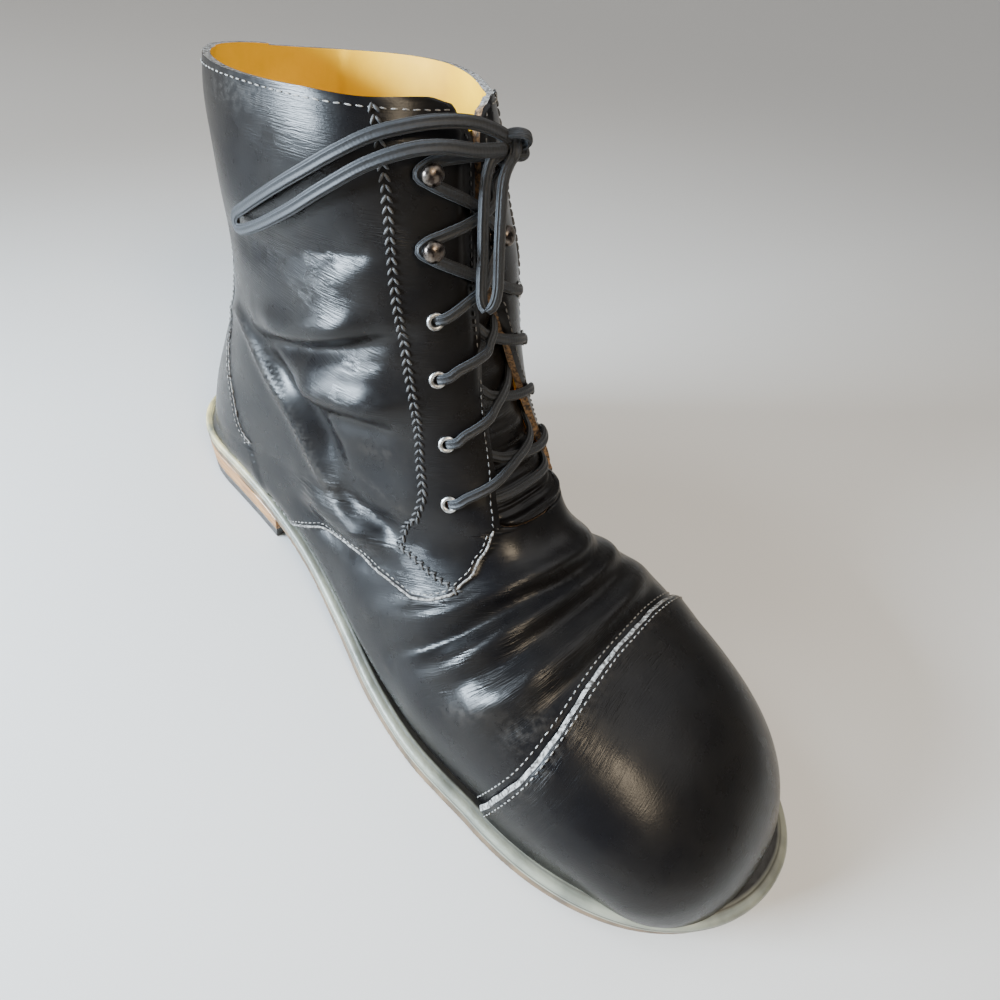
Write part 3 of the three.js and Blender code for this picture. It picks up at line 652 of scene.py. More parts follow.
def facing_edge(s, side):
    """Distance of the facing's edge from the ridge: the throat, rounded into the collar."""
    below = np.interp(s, net_s, ridge_run)
    corner = np.clip(1 - below / COLLAR_ROUND, 0, 1)
    flare = COLLAR_ROUND * (1 - np.sqrt(1 - corner ** 2))
    end = np.clip((THROAT_END - s) / 1.4, 0, 1)
    close = np.sqrt(1 - (1 - end) ** 2)
    return np.maximum((along(THROAT, s, 1 if side == LATERAL else 2) + flare) * close, 0.4)


# %% The relief of the leather
def near(route, places):
    """Distance from each place to a route on the leather, and how full the fold is there."""
    line, _ = on_last([(s, d, 0) for s, d in route], 2.0)
    flat = places.reshape(-1, 3)
    best, at = np.full(len(flat), 1e9), np.zeros(len(flat))
    for i, point in enumerate(line):
        gap = np.linalg.norm(flat - point, axis=1)
        closer = gap < best
        best[closer], at[closer] = gap[closer], i / max(len(line) - 1, 1)
    full = np.minimum(smooth(at, -0.02, 0.3), 1 - smooth(at, 0.7, 1.02))
    return best.reshape(places.shape[:-1]), (0.25 + 0.75 * full).reshape(places.shape[:-1])


def relief(s, distance, places):
    """Height of the worn leather over the smooth last, in millimetres."""
    height = np.zeros(places.shape[:-1])
    for width, tall, route in FOLDS:
        gap, full = near(route, places)
        height += FOLD_DEPTH * tall * full * np.exp(-(gap / width) ** 2)
    for lump_s, lump_d, radius, tall in LUMPS:
        middle, _ = leather(lump_s, lump_d)
        height += tall * np.exp(-(np.linalg.norm(places - middle, axis=-1) / radius) ** 2)
    # folds die out toward the stiff toe, the sole and the facings
    run = np.where(distance >= 0, run_length(s, LATERAL), run_length(s, MEDIAL))
    height *= 1 - smooth(s, 20.8, 21.6)
    height *= smooth(run - np.abs(distance), 1, 12) * (s > HEEL_SEAT_ROW) + (s <= HEEL_SEAT_ROW)
    height += panels(s, distance)
    return height


def panels(s, distance):
    """Steps where one panel of leather lies over another."""
    away = np.abs(distance)
    speed = np.where(s > 13, 4 + 23 * smooth(away, 20, 100), 12)
    slope = (quarter_section(distance + 0.5) - quarter_section(distance - 0.5))
    past = (quarter_section(distance) - s) * speed / np.sqrt(1 + (slope * speed) ** 2)
    over = smooth(past, -0.5, 0.5) * (away > 8)
    steps = QUARTER_STEP * (over - 0.5)
    for side in (LATERAL, MEDIAL):
        here = (distance >= 0) if side == LATERAL else (distance < 0)
        inside = away - backstay_distance(s, side)
        steps += np.where(here, BACKSTAY_STEP * smooth(inside, -0.5, 0.5) * smooth(past, 0, 3), 0)
        # the cut edges of the facings are pressed thinner
        edge = away - facing_edge(s, side)
        steps -= np.where(here & (s < THROAT_END), 0.6 * np.exp(-(np.maximum(edge, 0) / 1.2) ** 2), 0)
    return steps


def skin(s, distance, lift=0.0):
    """Places on the worn leather, and the outward direction."""
    place, out = leather(s, distance)
    s, distance, lift = np.broadcast_arrays(*(np.asarray(v, float) for v in (s, distance, lift)))
    return place + out * (relief(s, distance, place) + lift)[..., None], out


def on_skin(route, step):
    """As on_last, but over the worn leather."""
    return laid_on(skin, route, step)


# %% [markdown]
# ## The laces
# The bow is tied with flat braided laces, about four millimetres wide. Two loops hang
# from the knot: one lies along the lateral side of the shaft, the other in front of the
# throat. They follow the same routes as their solids in the frame, and then go on into
# the knot.

# %% Bow: section, distance, height over the leather
LOOP_BACK = [
    (0.67, 3, 9), (0.5, 10.3, 8), (0.45, 18.3, 6.5), (0.51, 25.9, 5.2), (0.67, 34.5, 4.2), (0.97, 44, 3.6),
    (1.36, 55.4, 3.2), (1.87, 71.1, 3), (2.29, 84.1, 3), (2.62, 94, 3), (2.86, 93.5, 3), (2.53, 79.5, 3),
    (2.03, 63, 3.4), (1.52, 49, 4), (1.1, 37, 5), (0.88, 27, 6.5), (0.84, 19, 8), (0.92, 9.9, 9),
]
LOOP_FRONT = [
    (1.07, 4.7, 8), (1.36, 6.2, 7.2), (1.84, 6.6, 7), (2.36, 7, 6.8), (2.78, 7.8, 6.6), (3.07, 8.4, 6.8),
    (3.24, 8, 7.8), (3.17, 6.9, 9.6), (2.89, 5.9, 11), (2.36, 5.1, 11.3), (1.84, 4.3, 11.3), (1.41, 3.5, 11),
    (1.21, 1.9, 10.8),
]
KNOT = (0.95, -2.6, 9.3)
KNOT_SIZE = 5.2
LACE_PROFILE = oval(LACE_WIDTH, LACE_THICK, 14, 0.8)

INTO_KNOT = {
    "bow_loop_back": ((0.82, -1.5, 9.4), (0.95, 0.5, 9.6)),
    "bow_loop_front": ((0.97, 0.3, 8.6), (1.03, -1.6, 10.2)),
}
loops = {}
for name, route in (("bow_loop_back", LOOP_BACK), ("bow_loop_front", LOOP_FRONT)):
    first, last = INTO_KNOT[name]
    places, outs = on_last([first, *route, last], 1.2)
    loops[name] = (mesh_piece([sweep(places, outs, LACE_PROFILE)]), places)

knot_place = leather(*KNOT)[0]
t = np.linspace(0, 2 * math.pi, 90, endpoint=False)
tangle = np.stack([np.sin(t) + 2 * np.sin(2 * t), np.cos(t) - 2 * np.cos(2 * t), -1.5 * np.sin(3 * t)], 1) / 3
KNOT_AXES = np.array([(0.25, -0.75, 0.6), (0.1, 0.6, 0.78), (0.96, 0.2, -0.1)])
knot_line = knot_place + KNOT_SIZE * tangle @ KNOT_AXES
knot_outs = (knot_line - knot_place) / np.linalg.norm(knot_line - knot_place, axis=1, keepdims=True)
knot = mesh_piece([sweep(knot_line, knot_outs, oval(3.6, 2.0, 14, 0.8))])
for name, (_, places) in loops.items():
    print(name, "mm long:", round(length_of(places)))

# %% [markdown]
# ## Leather, metal and cloth
# Black boot leather is almost black but never flat: a thin finish gives it a clear gloss,
# fine parallel wrinkles gather in the folds, and the high places are rubbed brown-grey.
# The wrinkles follow the leather's own UV map, so they run across the shaft and fan over
# the vamp, and a painted attribute says where they gather.


# %% Small helpers for node trees
def node(tree, kind, **settings):
    made = tree.nodes.new(kind)
    for key, value in settings.items():
        if key in made.inputs:
            made.inputs[key].default_value = value
        else:
            setattr(made, key, value)
    return made


def join(tree, source, target):
    tree.links.new(source, target)


def maths(tree, operation, *values):
    made = tree.nodes.new("ShaderNodeMath")
    made.operation = operation
    for socket, value in zip(made.inputs, values):
        if isinstance(value, (int, float)):
            socket.default_value = value
        else:
            tree.links.new(value, socket)
    return made.outputs[0]


def attribute(tree, name):
    return node(tree, "ShaderNodeAttribute", attribute_name=name).outputs["Fac"]


def coordinates(tree, source, stretch):
    place = tree.nodes.new("ShaderNodeTexCoord")
    mapping = node(tree, "ShaderNodeMapping", Scale=stretch)
    join(tree, place.outputs[source], mapping.inputs["Vector"])
    return mapping.outputs[0]


def object_axis(tree, axis):
    """How far along x, y or z a place lies, in metres."""
    parted = node(tree, "ShaderNodeSeparateXYZ")
    join(tree, tree.nodes.new("ShaderNodeTexCoord").outputs["Object"], parted.inputs[0])
    return parted.outputs[axis]


def object_noise(tree, scale, detail, stretch=(1, 1, 1), source="Object"):
    where = coordinates(tree, source, stretch)
    made = node(tree, "ShaderNodeTexNoise", Scale=scale, Detail=detail)
    join(tree, where, made.inputs["Vector"])
    return made.outputs["Fac"]


def mix_colour(tree, factor, first, second):
    made = tree.nodes.new("ShaderNodeMix")
    made.data_type = "RGBA"
    for socket, value in ((made.inputs[0], factor), (made.inputs[6], first), (made.inputs[7], second)):
        if isinstance(value, tuple):
            socket.default_value = (*value, 1)
        elif isinstance(value, (int, float)):
            socket.default_value = value
        else:
            join(tree, value, socket)
    return made.outputs[2]


def bump(tree, height, distance, strength, below=None):
    made = node(tree, "ShaderNodeBump", Distance=distance)
    join(tree, height, made.inputs["Height"])
    if isinstance(strength, (int, float)):
        made.inputs["Strength"].default_value = strength
    else:
        join(tree, strength, made.inputs["Strength"])
    if below is not None:
        join(tree, below, made.inputs["Normal"])
    return made.outputs[0]


def span(tree, value, low, high, to_low=0.0, to_high=1.0):
    made = tree.nodes.new("ShaderNodeMapRange")
    made.inputs["From Min"].default_value, made.inputs["From Max"].default_value = low, high
    made.inputs["To Min"].default_value, made.inputs["To Max"].default_value = to_low, to_high
    join(tree, value, made.inputs["Value"])
    return made.outputs[0]


def ripples(tree, scale, distortion):
    """Fine parallel wrinkles that run across the boot, broken up as they go."""
    where = coordinates(tree, "UV", (0.16, 1, 1))
    wave = tree.nodes.new("ShaderNodeTexWave")
    wave.bands_direction = "Y"
    for name, value in (("Scale", scale), ("Distortion", distortion), ("Detail", 4.0), ("Detail Scale", 1.3)):
        wave.inputs[name].default_value = value
    join(tree, where, wave.inputs["Vector"])
    return wave.outputs["Fac"]


def dress(tree, shader, colour, roughness, normal):
    """Give the shader its colour, roughness and normal: a number, or what a node puts out."""
    for name, value in (("Base Color", colour), ("Roughness", roughness), ("Normal", normal)):
        if isinstance(value, float):
            shader.inputs[name].default_value = value
        else:
            join(tree, value, shader.inputs[name])


# %% Black leather
def black_leather(name):
    made, tree, shader = material_of(name)
    wear = attribute(tree, "wear")
    mottle = object_noise(tree, 55, 5)
    rubbed = maths(tree, "MULTIPLY", wear, span(tree, object_noise(tree, 420, 6), 0.42, 0.62))
    colour = mix_colour(
        tree, span(tree, mottle, 0.35, 0.7), (0.0032, 0.0030, 0.0035), (0.0075, 0.0066, 0.0060))
    colour = mix_colour(tree, maths(tree, "MULTIPLY", rubbed, 0.5), colour, (0.045, 0.038, 0.031))
    rough = span(tree, object_noise(tree, 130, 5), 0.3, 0.75, 0.25, 0.34)
    rough = maths(tree, "ADD", rough, maths(tree, "MULTIPLY", rubbed, 0.2))
    shader.inputs["Specular IOR Level"].default_value = 0.2
    grain = object_noise(tree, 1500, 2)
    normal = bump(tree, grain, 0.00005, 0.55)
    normal = bump(tree, object_noise(tree, 300, 4), 0.00006, 0.5, normal)
    wrinkle = attribute(tree, "wrinkle")
    fine = maths(tree, "ADD", ripples(tree, 540, 11.0), maths(tree, "MULTIPLY", ripples(tree, 300, 9.0), 0.8))
    patch = span(tree, object_noise(tree, 1.0, 3, (90, 130, 1), "UV"), 0.36, 0.6, 0.25, 1.0)
    normal = bump(tree, fine, 0.00007, maths(tree, "MULTIPLY", wrinkle, patch), normal)
    broad = object_noise(tree, 1.0, 2, (45, 260, 1), "UV")
    normal = bump(tree, broad, 0.00018, maths(tree, "MULTIPLY", wrinkle, 0.5), normal)
    dress(tree, shader, colour, rough, normal)
    return made


# %% Lining, raw edges, thread
def lining_leather(name, light, dark):
    made, tree, shader = material_of(name)
    stain = span(tree, object_noise(tree, 28, 5), 0.38, 0.68)
    colour = mix_colour(tree, stain, light, dark)
    shader.inputs["Specular IOR Level"].default_value = 0.2
    normal = bump(tree, object_noise(tree, 900, 3), 0.0001, 0.5)
    dress(tree, shader, colour, 0.55, bump(tree, object_noise(tree, 120, 3), 0.0006, 0.35, normal))
    return made


def raw_edge(name, collar, facing):
    made, tree, shader = material_of(name)
    fibre = object_noise(tree, 900, 5)
    tone = mix_colour(tree, attribute(tree, "facing"), collar, facing)
    dark = mix_colour(tree, span(tree, fibre, 0.38, 0.62), tone, (0.03, 0.024, 0.02))
    dress(tree, shader, dark, 0.85, bump(tree, fibre, 0.0004, 0.9))
    return made


def plain(name, first, second, roughness, scale):
    made, tree, shader = material_of(name)
    spots = object_noise(tree, scale, 5)
    colour = mix_colour(tree, span(tree, spots, 0.35, 0.68), first, second)
    rough = span(tree, spots, 0.3, 0.7, roughness - 0.06, roughness + 0.08)
    dress(tree, shader, colour, rough, bump(tree, spots, 0.0002, 0.6))
    return made


upper_black = black_leather("black_leather")
yellow = lining_leather("yellow_lining", (0.80, 0.45, 0.004), (0.60, 0.31, 0.003))
edge = raw_edge("cut_edge", (0.26, 0.25, 0.235), (0.23, 0.135, 0.065))
pale_thread = plain("pale_thread", (0.30, 0.29, 0.27), (0.10, 0.095, 0.09), 0.75, 900)
grey_thread = plain("grey_thread", (0.13, 0.125, 0.12), (0.05, 0.048, 0.046), 0.75, 900)
dark_thread = plain("dark_thread", (0.010, 0.010, 0.011), (0.055, 0.053, 0.051), 0.6, 500)
print("materials so far:", len(bpy.data.materials))


# %% [markdown]
# ## The upper
# A grid is laid over the last: its columns run from the medial feather line over the
# ridge to the lateral one, its rows from the collar to the toe. Above the end of the
# throat the middle column of faces is taken out, which leaves the slit for the laces.
# The relief is added before the wall, and Solidify then gives the leather its thickness,
# with the lining on its inner faces and a raw cut edge round the rim.

# %% Grid of the upper
ROW_STEP = 1.5
CAP_ROWS = 12
HALF_COLUMNS = 88
UNDER_CAP = CAP_SEAM + 0.35

front_run = np.linalg.norm(np.diff(sheets[LATERAL][:, 0], axis=0), axis=1)
heel_run = np.linalg.norm(np.diff(sheets[LATERAL][:, -8], axis=0), axis=1)
pace = np.r_[0, np.cumsum(np.maximum(front_run, 0.62 * heel_run))]
seam_pace = np.interp(UNDER_CAP, net_s, pace)
row_s = np.interp(np.linspace(0, seam_pace, int(seam_pace / ROW_STEP)), pace, net_s)
row_s = np.r_[row_s, np.linspace(UNDER_CAP, LAST_ROW, CAP_ROWS + 1)[1:]]
share = np.linspace(0, 1, HALF_COLUMNS)
lateral_edge, medial_edge = facing_edge(row_s, LATERAL), facing_edge(row_s, MEDIAL)
lateral = lateral_edge[:, None] + share * (run_length(row_s, LATERAL) - lateral_edge)[:, None]
medial = medial_edge[:, None] + share * (run_length(row_s, MEDIAL) - medial_edge)[:, None]
grid_d = np.hstack([-medial[:, ::-1], lateral])
grid_s = np.repeat(row_s[:, None], grid_d.shape[1], axis=1)
base, outward = leather(grid_s, grid_d)
raised = base + outward * relief(grid_s, grid_d, base)[..., None]
# the collar dips and waves a little where the leg has pressed it
raised[..., 2] -= 1.0 * np.exp(-((np.abs(grid_d) - 36) / 12) ** 2) * np.exp(-grid_s / 0.7)
raised[..., 2] += 0.8 * np.sin(grid_d / 17) * np.exp(-grid_s / 0.6)
print("grid of the upper:", grid_s.shape)

# %% [markdown]
# The fine wrinkles and the rubbed places are painted as well: each is a route on
# the leather with a width and a strength, in the same measure as the folds.

# %% Painted attributes
WRINKLES = [
    (15, 0.95, [(3.5, 112), (3.1, 86), (2.95, 60), (2.7, 36)]),
    (10, 0.75, [(3.7, 100), (3.5, 70), (3.3, 42)]),
    (7, 1.0, [(5.45, 100), (4.95, 72), (4.65, 52), (4.3, 35)]),
    (8, 0.7, [(6.3, 86), (5.7, 58), (5.4, 36)]),
    (6, 0.9, [(2.2, 46), (2.1, 36), (2.1, 26)]),
    (7, 0.5, [(4.0, 30), (4.1, 20)]),
    (7, 0.55, [(5.5, 32), (5.6, 20)]),
    (8, 0.45, [(7.5, 40), (8.2, 28)]),
    (14, 0.5, [(12.6, 104), (14.2, 86), (15.2, 66)]),
    (8, 0.7, [(16.2, 62), (17.1, 54), (17.2, 44)]),
    (12, 0.6, [(18.6, 88), (18.4, 60), (18.1, 34), (18.0, 8)]),
    (11, 0.8, [(19.3, 80), (19.2, 52), (19.2, 24), (19.3, -20)]),
    (10, 0.8, [(20.3, 60), (20.4, 34), (20.4, -10)]),
    (14, 0.3, [(0.9, 90), (0.8, 60), (0.7, 40)]),
    (14, 0.8, [(3.4, -104), (3.1, -74), (2.9, -44)]),
    (10, 0.8, [(5.6, -100), (5.2, -72), (4.9, -46)]),
    (12, 0.5, [(14.4, -92), (14.6, -70)]),
    (14, 0.6, [(19.2, -76), (19.0, -54), (18.9, -34)]),
]
WEAR = [
    (2.0, 1.0, [(5.9, 147), (5.5, 122), (6.9, 104), (8.5, 96), (12.9, 88), (15.6, 81)]),
    (3.0, 0.45, [(7.7, 66), (7.5, 52), (7.5, 42)]),
    (1.0, 1.0, [(9.3, 72), (10.4, 60), (11.4, 50)]),
    (0.8, 1.0, [(9.8, 66), (10.6, 57), (11.6, 49)]),
    (3.5, 0.6, [(19.9, 74), (20.1, 62), (20.3, 54)]),
    (1.2, 0.9, [(20.9, 88), (19.6, 92), (18.9, 95)]),
    (6, 0.5, [(20.9, 60), (21.0, 40)]),
    (5, 0.35, [(0.4, 110), (0.4, 60)]),
]


def painted(routes, places):
    values = np.zeros(places.shape[:-1])
    for width, strength, route in routes:
        gap, full = near(route, places)
        values = np.maximum(values, strength * full * np.exp(-(gap / width) ** 2))
    return np.clip(values, 0, 1)


wrinkle = 0.07 + painted(WRINKLES, base)
wear = painted(WEAR, base)
rim_gap = np.minimum(np.interp(grid_s, net_s, ridge_run), 40)
facing = smooth(rim_gap, 1.2, 3.0)
mid = int(45 / run_length(4.0, LATERAL) * NET_STEPS)
mid_run = run_of(sheets[LATERAL][:, mid])
upper_uv = np.stack([grid_d * MM, np.interp(grid_s, net_s, mid_run) * MM], -1)

# %% Build the upper
upper = lay_grid(grid_s.shape[1], grid_s.shape[0], raised, upper_uv)
add_attribute(upper, "wrinkle", wrinkle)
add_attribute(upper, "wear", wear)
add_attribute(upper, "facing", facing)
directions = upper.data.attributes.new("outward", "FLOAT_VECTOR", "POINT")
directions.data.foreach_set("vector", outward.astype(np.float32).ravel())
row, column = np.divmod(np.arange(len(upper.data.polygons)), grid_s.shape[1] - 1)
gone = (column == HALF_COLUMNS - 1) & (row_s[row] < THROAT_END - 0.02)
middles = face_middles(upper) / MM + ORIGIN
for s, lateral_at, medial_at in EYELETS:
    for distance in (lateral_at, -medial_at):
        hole, _ = skin(s, distance)
        gone |= np.linalg.norm(middles - hole, axis=1) < EYELET_HOLE
cut_away(upper, gone)
merge(upper)
thicken(upper, WALL, inside=1, rim=2)
inner_skin(upper, WALL)
finish(upper, "upper_leather", [upper_black, yellow, edge], ["upper"])

# %% [markdown]
# ## The toe cap
# The cap is a second layer of the same leather, cut raw along its seam. It is laid on the
# last as the upper was, a little higher, and thickened downward. Its first row slopes
# down to the vamp: that is the fuzzy cut edge.

# %% Toe cap
CAP_COLUMNS = 121
cap_share = np.linspace(-1, 1, CAP_COLUMNS)
cap_start = np.where(cap_share < 0, run_length(CAP_SEAM, MEDIAL), run_length(CAP_SEAM, LATERAL)) * cap_share
cap_seam = CAP_SEAM + 0.55 * smooth(np.abs(cap_start), 8, 66)
cap_seam = cap_seam + 0.012 * np.sin(cap_start / 6) * np.cos(cap_start / 2.3)
cap_steps = np.r_[0, 0.011, 0.03, np.linspace(0.055, 1, 46)]
cap_s = cap_seam + (LAST_ROW - cap_seam) * cap_steps[:, None]
cap_run = np.where(cap_share < 0, run_length(cap_s, MEDIAL), run_length(cap_s, LATERAL))
cap_d = cap_run * cap_share
cap_lift = (CAP + GAP) - np.r_[1.35, 0.25, np.zeros(len(cap_steps) - 2)][:, None] + 0 * cap_d
cap_base, cap_out = leather(cap_s, cap_d)
dents = np.zeros(cap_d.shape)
for dent_s, dent_d, radius, tall in ((21.6, 22, 12, -0.7), (22.1, -14, 16, -0.6), (22.6, 48, 14, -0.6)):
    middle, _ = leather(dent_s, dent_d)
    dents += tall * np.exp(-(np.linalg.norm(cap_base - middle, axis=-1) / radius) ** 2)
cap_places = cap_base + cap_out * (cap_lift + dents)[..., None]
cap_places[..., 2] = np.maximum(cap_places[..., 2], feather_z(cap_places[..., 0]) + GAP)
cap_uv = np.stack([cap_d * MM, cap_steps[:, None] * 0.11 + 0 * cap_d], -1)
cap = lay_grid(CAP_COLUMNS, len(cap_steps), cap_places, cap_uv)
add_attribute(cap, "wrinkle", 0.10 + 0.5 * (1 - smooth(cap_steps[:, None] + 0 * cap_d, 0.05, 0.3)))
cap_wear = 0.55 * np.exp(-((cap_share - 0.05) / 0.5) ** 2) * smooth(cap_steps, 0.7, 1.0)[:, None]
add_attribute(cap, "wear", cap_wear + 0.5 * (1 - smooth(cap_steps, 0.02, 0.08))[:, None])
add_attribute(cap, "facing", (1 - smooth(cap_steps, 0.1, 0.2))[:, None] + 0 * cap_d)
cap_row = np.arange(len(cap.data.polygons)) // (CAP_COLUMNS - 1)
cap.data.polygons.foreach_set("material_index", np.where(cap_row < 1, 1, 0).astype(np.int32))
merge(cap)
thicken(cap, CAP - 0.1)
cap_edge = raw_edge("cap_cut_edge", (0.012, 0.011, 0.011), (0.34, 0.33, 0.31))
finish(cap, "cap", [upper_black, cap_edge], ["toe_cap"])

# %% [markdown]
# ## The tongue
# A padded strip under the laces. Where the laces press it there are shallow waves.

# %% Tongue
tongue_s = np.linspace(0.55, 15.1, 110)[:, None]
tongue_share = np.linspace(-1, 1, 41)[None, :]
tongue_d = (25 + 8 * smooth(tongue_s, 3, 9)) * tongue_share
tongue_lift = -(WALL + 1.7) - 0.5 * np.cos(tongue_s * 4.2 + 0.8 * tongue_share) * (1 - tongue_share ** 2)
tongue_wave = 0.35 * np.sin(tongue_s * 9.7 + 2.2 * tongue_share)
tongue_lift = tongue_lift + tongue_wave * np.exp(-(tongue_share / 0.6) ** 2)
# at its foot the tongue runs out into the vamp, between the ends of the facings
tongue_gap = np.where(tongue_d < 0, facing_edge(tongue_s, MEDIAL), facing_edge(tongue_s, LATERAL))
tongue_gap = tongue_gap - np.abs(tongue_d)
tongue_lift = tongue_lift + 3.5 * smooth(tongue_s, 11.3, 12.8) * smooth(tongue_gap, -1, 5)
tongue_places, _ = leather(tongue_s + 0 * tongue_d, tongue_d, tongue_lift)
tongue_uv = np.stack([tongue_d * MM, np.interp(tongue_s + 0 * tongue_d, net_s, mid_run) * MM], -1)
tongue = lay_grid(41, 110, tongue_places, tongue_uv)
add_attribute(tongue, "wrinkle", np.full(tongue_d.shape, 0.55))
add_attribute(tongue, "wear", np.full(tongue_d.shape, 0.12))
thicken(tongue, 2.4)
finish(tongue, "tongue_pad", [upper_black, yellow], ["tongue"])

# %% [markdown]
# ## Sole
# Insole, outsole, heel block and top lift are plates that follow the plan of the sole. Each
# is laid from rings across the boot: down one wall, along the underside, up the other wall
# and back over the top. The welt is one profile carried round the outline instead, because
# its lip and its groove follow the edge.


# %% Plates
ACROSS = 9                          # points across the underside, and across the top


def plate(xs, lateral_half, medial_half, low, high, round_low, round_high=0.4):
    """Rings across the boot at each x, as grid places; low and high are heights there."""
    rows = []
    for x, left, right_half, floor_z, top_z in zip(xs, lateral_half, medial_half, low, high):
        radius = min(round_low, (top_z - floor_z) * 0.4)
        small = min(round_high, radius)
        middle = (right_half - left) / 2
        wall = [
            (small, top_z), (0, top_z - small), (0, (top_z + floor_z) / 2), (0, floor_z + radius),
            (0.3 * radius, floor_z + 0.3 * radius),
        ]
        down = [(min(inset - left, middle), z) for inset, z in wall]
        rise = [(max(right_half - inset, middle), z) for inset, z in wall[::-1]]
        under = np.linspace(min(radius - left, middle), max(right_half - radius, middle), ACROSS)
        top = np.linspace(rise[-1][0], down[0][0], ACROSS)[1:]
        ring = down + [(y, floor_z) for y in under] + rise + [(y, top_z) for y in top]
        rows.append([(x, y, z) for y, z in ring])
    return np.array(rows)


def build_plate(places, name, finishes, stands_for):
    rows, columns = places.shape[:2]
    piece = lay_grid(columns, rows, places)
    merge(piece, 0.000002)
    face_outward(piece)
    return finish(piece, name, finishes, stands_for, angle=40)


def stations(start, end, fine=26, plain=34):
    """Closer together toward a rounded end."""
    heel = start + (PLAN[0, 0] - start) * (1 - np.cos(np.linspace(0, np.pi / 2, fine)))
    toe_x = PLAN[-1, 0]
    if end < toe_x:
        return np.r_[heel, np.linspace(PLAN[0, 0], end, plain)[1:]]
    toe = end - (end - toe_x) * (1 - np.cos(np.linspace(np.pi / 2, 0, fine + 6)))
    return np.r_[heel, np.linspace(PLAN[0, 0], toe_x, plain)[1:-1], toe]


def shank_z(x):
    return np.where(np.asarray(x) < 200, np.maximum(along(SHANK, x, 1), 0), along(SIDE, x, 1))


# %% Insole
insole_x = stations(FEATHER_HEEL + WALL + 0.3, LENGTH - FEATHER_TOE - WALL - 0.3)
insole_places = plate(
    insole_x, feather_half(insole_x, LATERAL, WALL + 0.3), feather_half(insole_x, MEDIAL, WALL + 0.3),
    feather_z(insole_x) - 0.5, feather_z(insole_x) + 3.2, 0.5, 0.5)
build_plate(insole_places, "insole_board", [yellow], ["insole"])

# %% Outsole, with its worn tan edge
rubber = plain("sole_rubber", (0.016, 0.015, 0.015), (0.05, 0.045, 0.038), 0.62, 220)
sole_edge, tree, shader = material_of("outsole_edge")
dust = object_noise(tree, 160, 5)
tone = mix_colour(tree, span(tree, dust, 0.35, 0.65), (0.055, 0.040, 0.026), (0.16, 0.105, 0.058))
dress(tree, shader, tone, 0.6, bump(tree, dust, 0.0003, 0.6))
outsole_x = stations(0.8, LENGTH - 0.8)
outsole_places = plate(
    outsole_x, half_width(outsole_x, LATERAL, 0.8, 0.8, 0.8), half_width(outsole_x, MEDIAL, 0.8, 0.8, 0.8),
    shank_z(outsole_x), feather_z(outsole_x) - WELT - GAP, 1.3)
outsole = lay_grid(outsole_places.shape[1], outsole_places.shape[0], outsole_places)
under = face_middles(outsole)[:, 2] < (shank_z(face_middles(outsole)[:, 0] / MM + ORIGIN[0]) + 0.8) * MM
outsole.data.polygons.foreach_set("material_index", np.where(under, 1, 0).astype(np.int32))
merge(outsole)
face_outward(outsole)
finish(outsole, "outsole_body", [sole_edge, rubber], ["outsole"], 40)

# %% [markdown]
# The heel is a stack of leather lifts on a rubber top lift. It draws in toward the
# ground, and its breast is square to the boot. Thin dark lines part the lifts.


# %% Heel block and top lift
def heel_places(low, high):
    xs = np.r_[stations(1.0, HEEL_END, 24, 16), HEEL_END, HEEL_END]
    rings = plate(xs, half_width(xs, LATERAL, 1, 0, 1), half_width(xs, MEDIAL, 1, 0, 1),
                  low + 0 * xs, high + 0 * xs, 0.7, 0.3)
    draw = HEEL_TAPER * (1 - rings[..., 2] / SHANK[0, 1]) + 1
    lateral_half = half_width(rings[..., 0], LATERAL, 1, 0, 1)
    medial_half = half_width(rings[..., 0], MEDIAL, 1, 0, 1)
    side_half = np.where(rings[..., 1] < 0, lateral_half, medial_half)
    rings[..., 1] *= np.maximum(side_half - draw, 0.01) / np.maximum(side_half, 0.01) * (side_half > 0.05)
    rings[..., 0] = draw + (rings[..., 0] - 1) / (HEEL_END - 1) * (HEEL_END - 1.5 * draw)
    rings[-1, :, 1] = 0
    return rings


LIFT_HEIGHT = 0.0042                # metres from one leather lift to the next
stack, tree, shader = material_of("heel_stack")
line = maths(tree, "FRACT", maths(tree, "MULTIPLY", object_axis(tree, 2), 1 / LIFT_HEIGHT))
line = maths(tree, "ABSOLUTE", maths(tree, "SUBTRACT", line, 0.5))
streak = span(tree, object_noise(tree, 120, 5, (1, 1, 5)), 0.35, 0.68)
amber = mix_colour(tree, streak, (0.42, 0.20, 0.055), (0.20, 0.085, 0.025))
lifts = mix_colour(tree, span(tree, line, 0.42, 0.48), amber, (0.05, 0.022, 0.01))
dress(tree, shader, lifts, 0.42, bump(tree, span(tree, line, 0.42, 0.5, 1, 0), 0.0004, 0.8))
heel_x = np.r_[stations(1.0, HEEL_END, 24, 16), HEEL_END, HEEL_END]
heel_rings = heel_places(TOP_LIFT + GAP, shank_z(heel_x) - 0.6)
build_plate(heel_rings, "heel_block", [stack], ["heel"])
build_plate(heel_places(0.0, TOP_LIFT), "heel_top_lift", [rubber], ["top_lift"])


# %% Outline of the sole, at equal steps, with outward directions
def outline(step):
    turn_at = np.linspace(0, np.pi, 500)
    x = LENGTH * (1 - np.cos(turn_at)) / 2
    there = np.stack([x, -half_width(x, LATERAL)], 1)
    home = np.stack([x, half_width(x, MEDIAL)], 1)[::-1]
    line = np.vstack([there, home[1:]])
    line = equal_steps(line, run_of(line), step)
    following = np.roll(line[:-1], -1, axis=0) - np.roll(line[:-1], 1, axis=0)
    outward = np.stack([following[:, 1], -following[:, 0]], 1)
    outward /= np.linalg.norm(outward, axis=1, keepdims=True)
    return line, np.vstack([outward, outward[:1]])
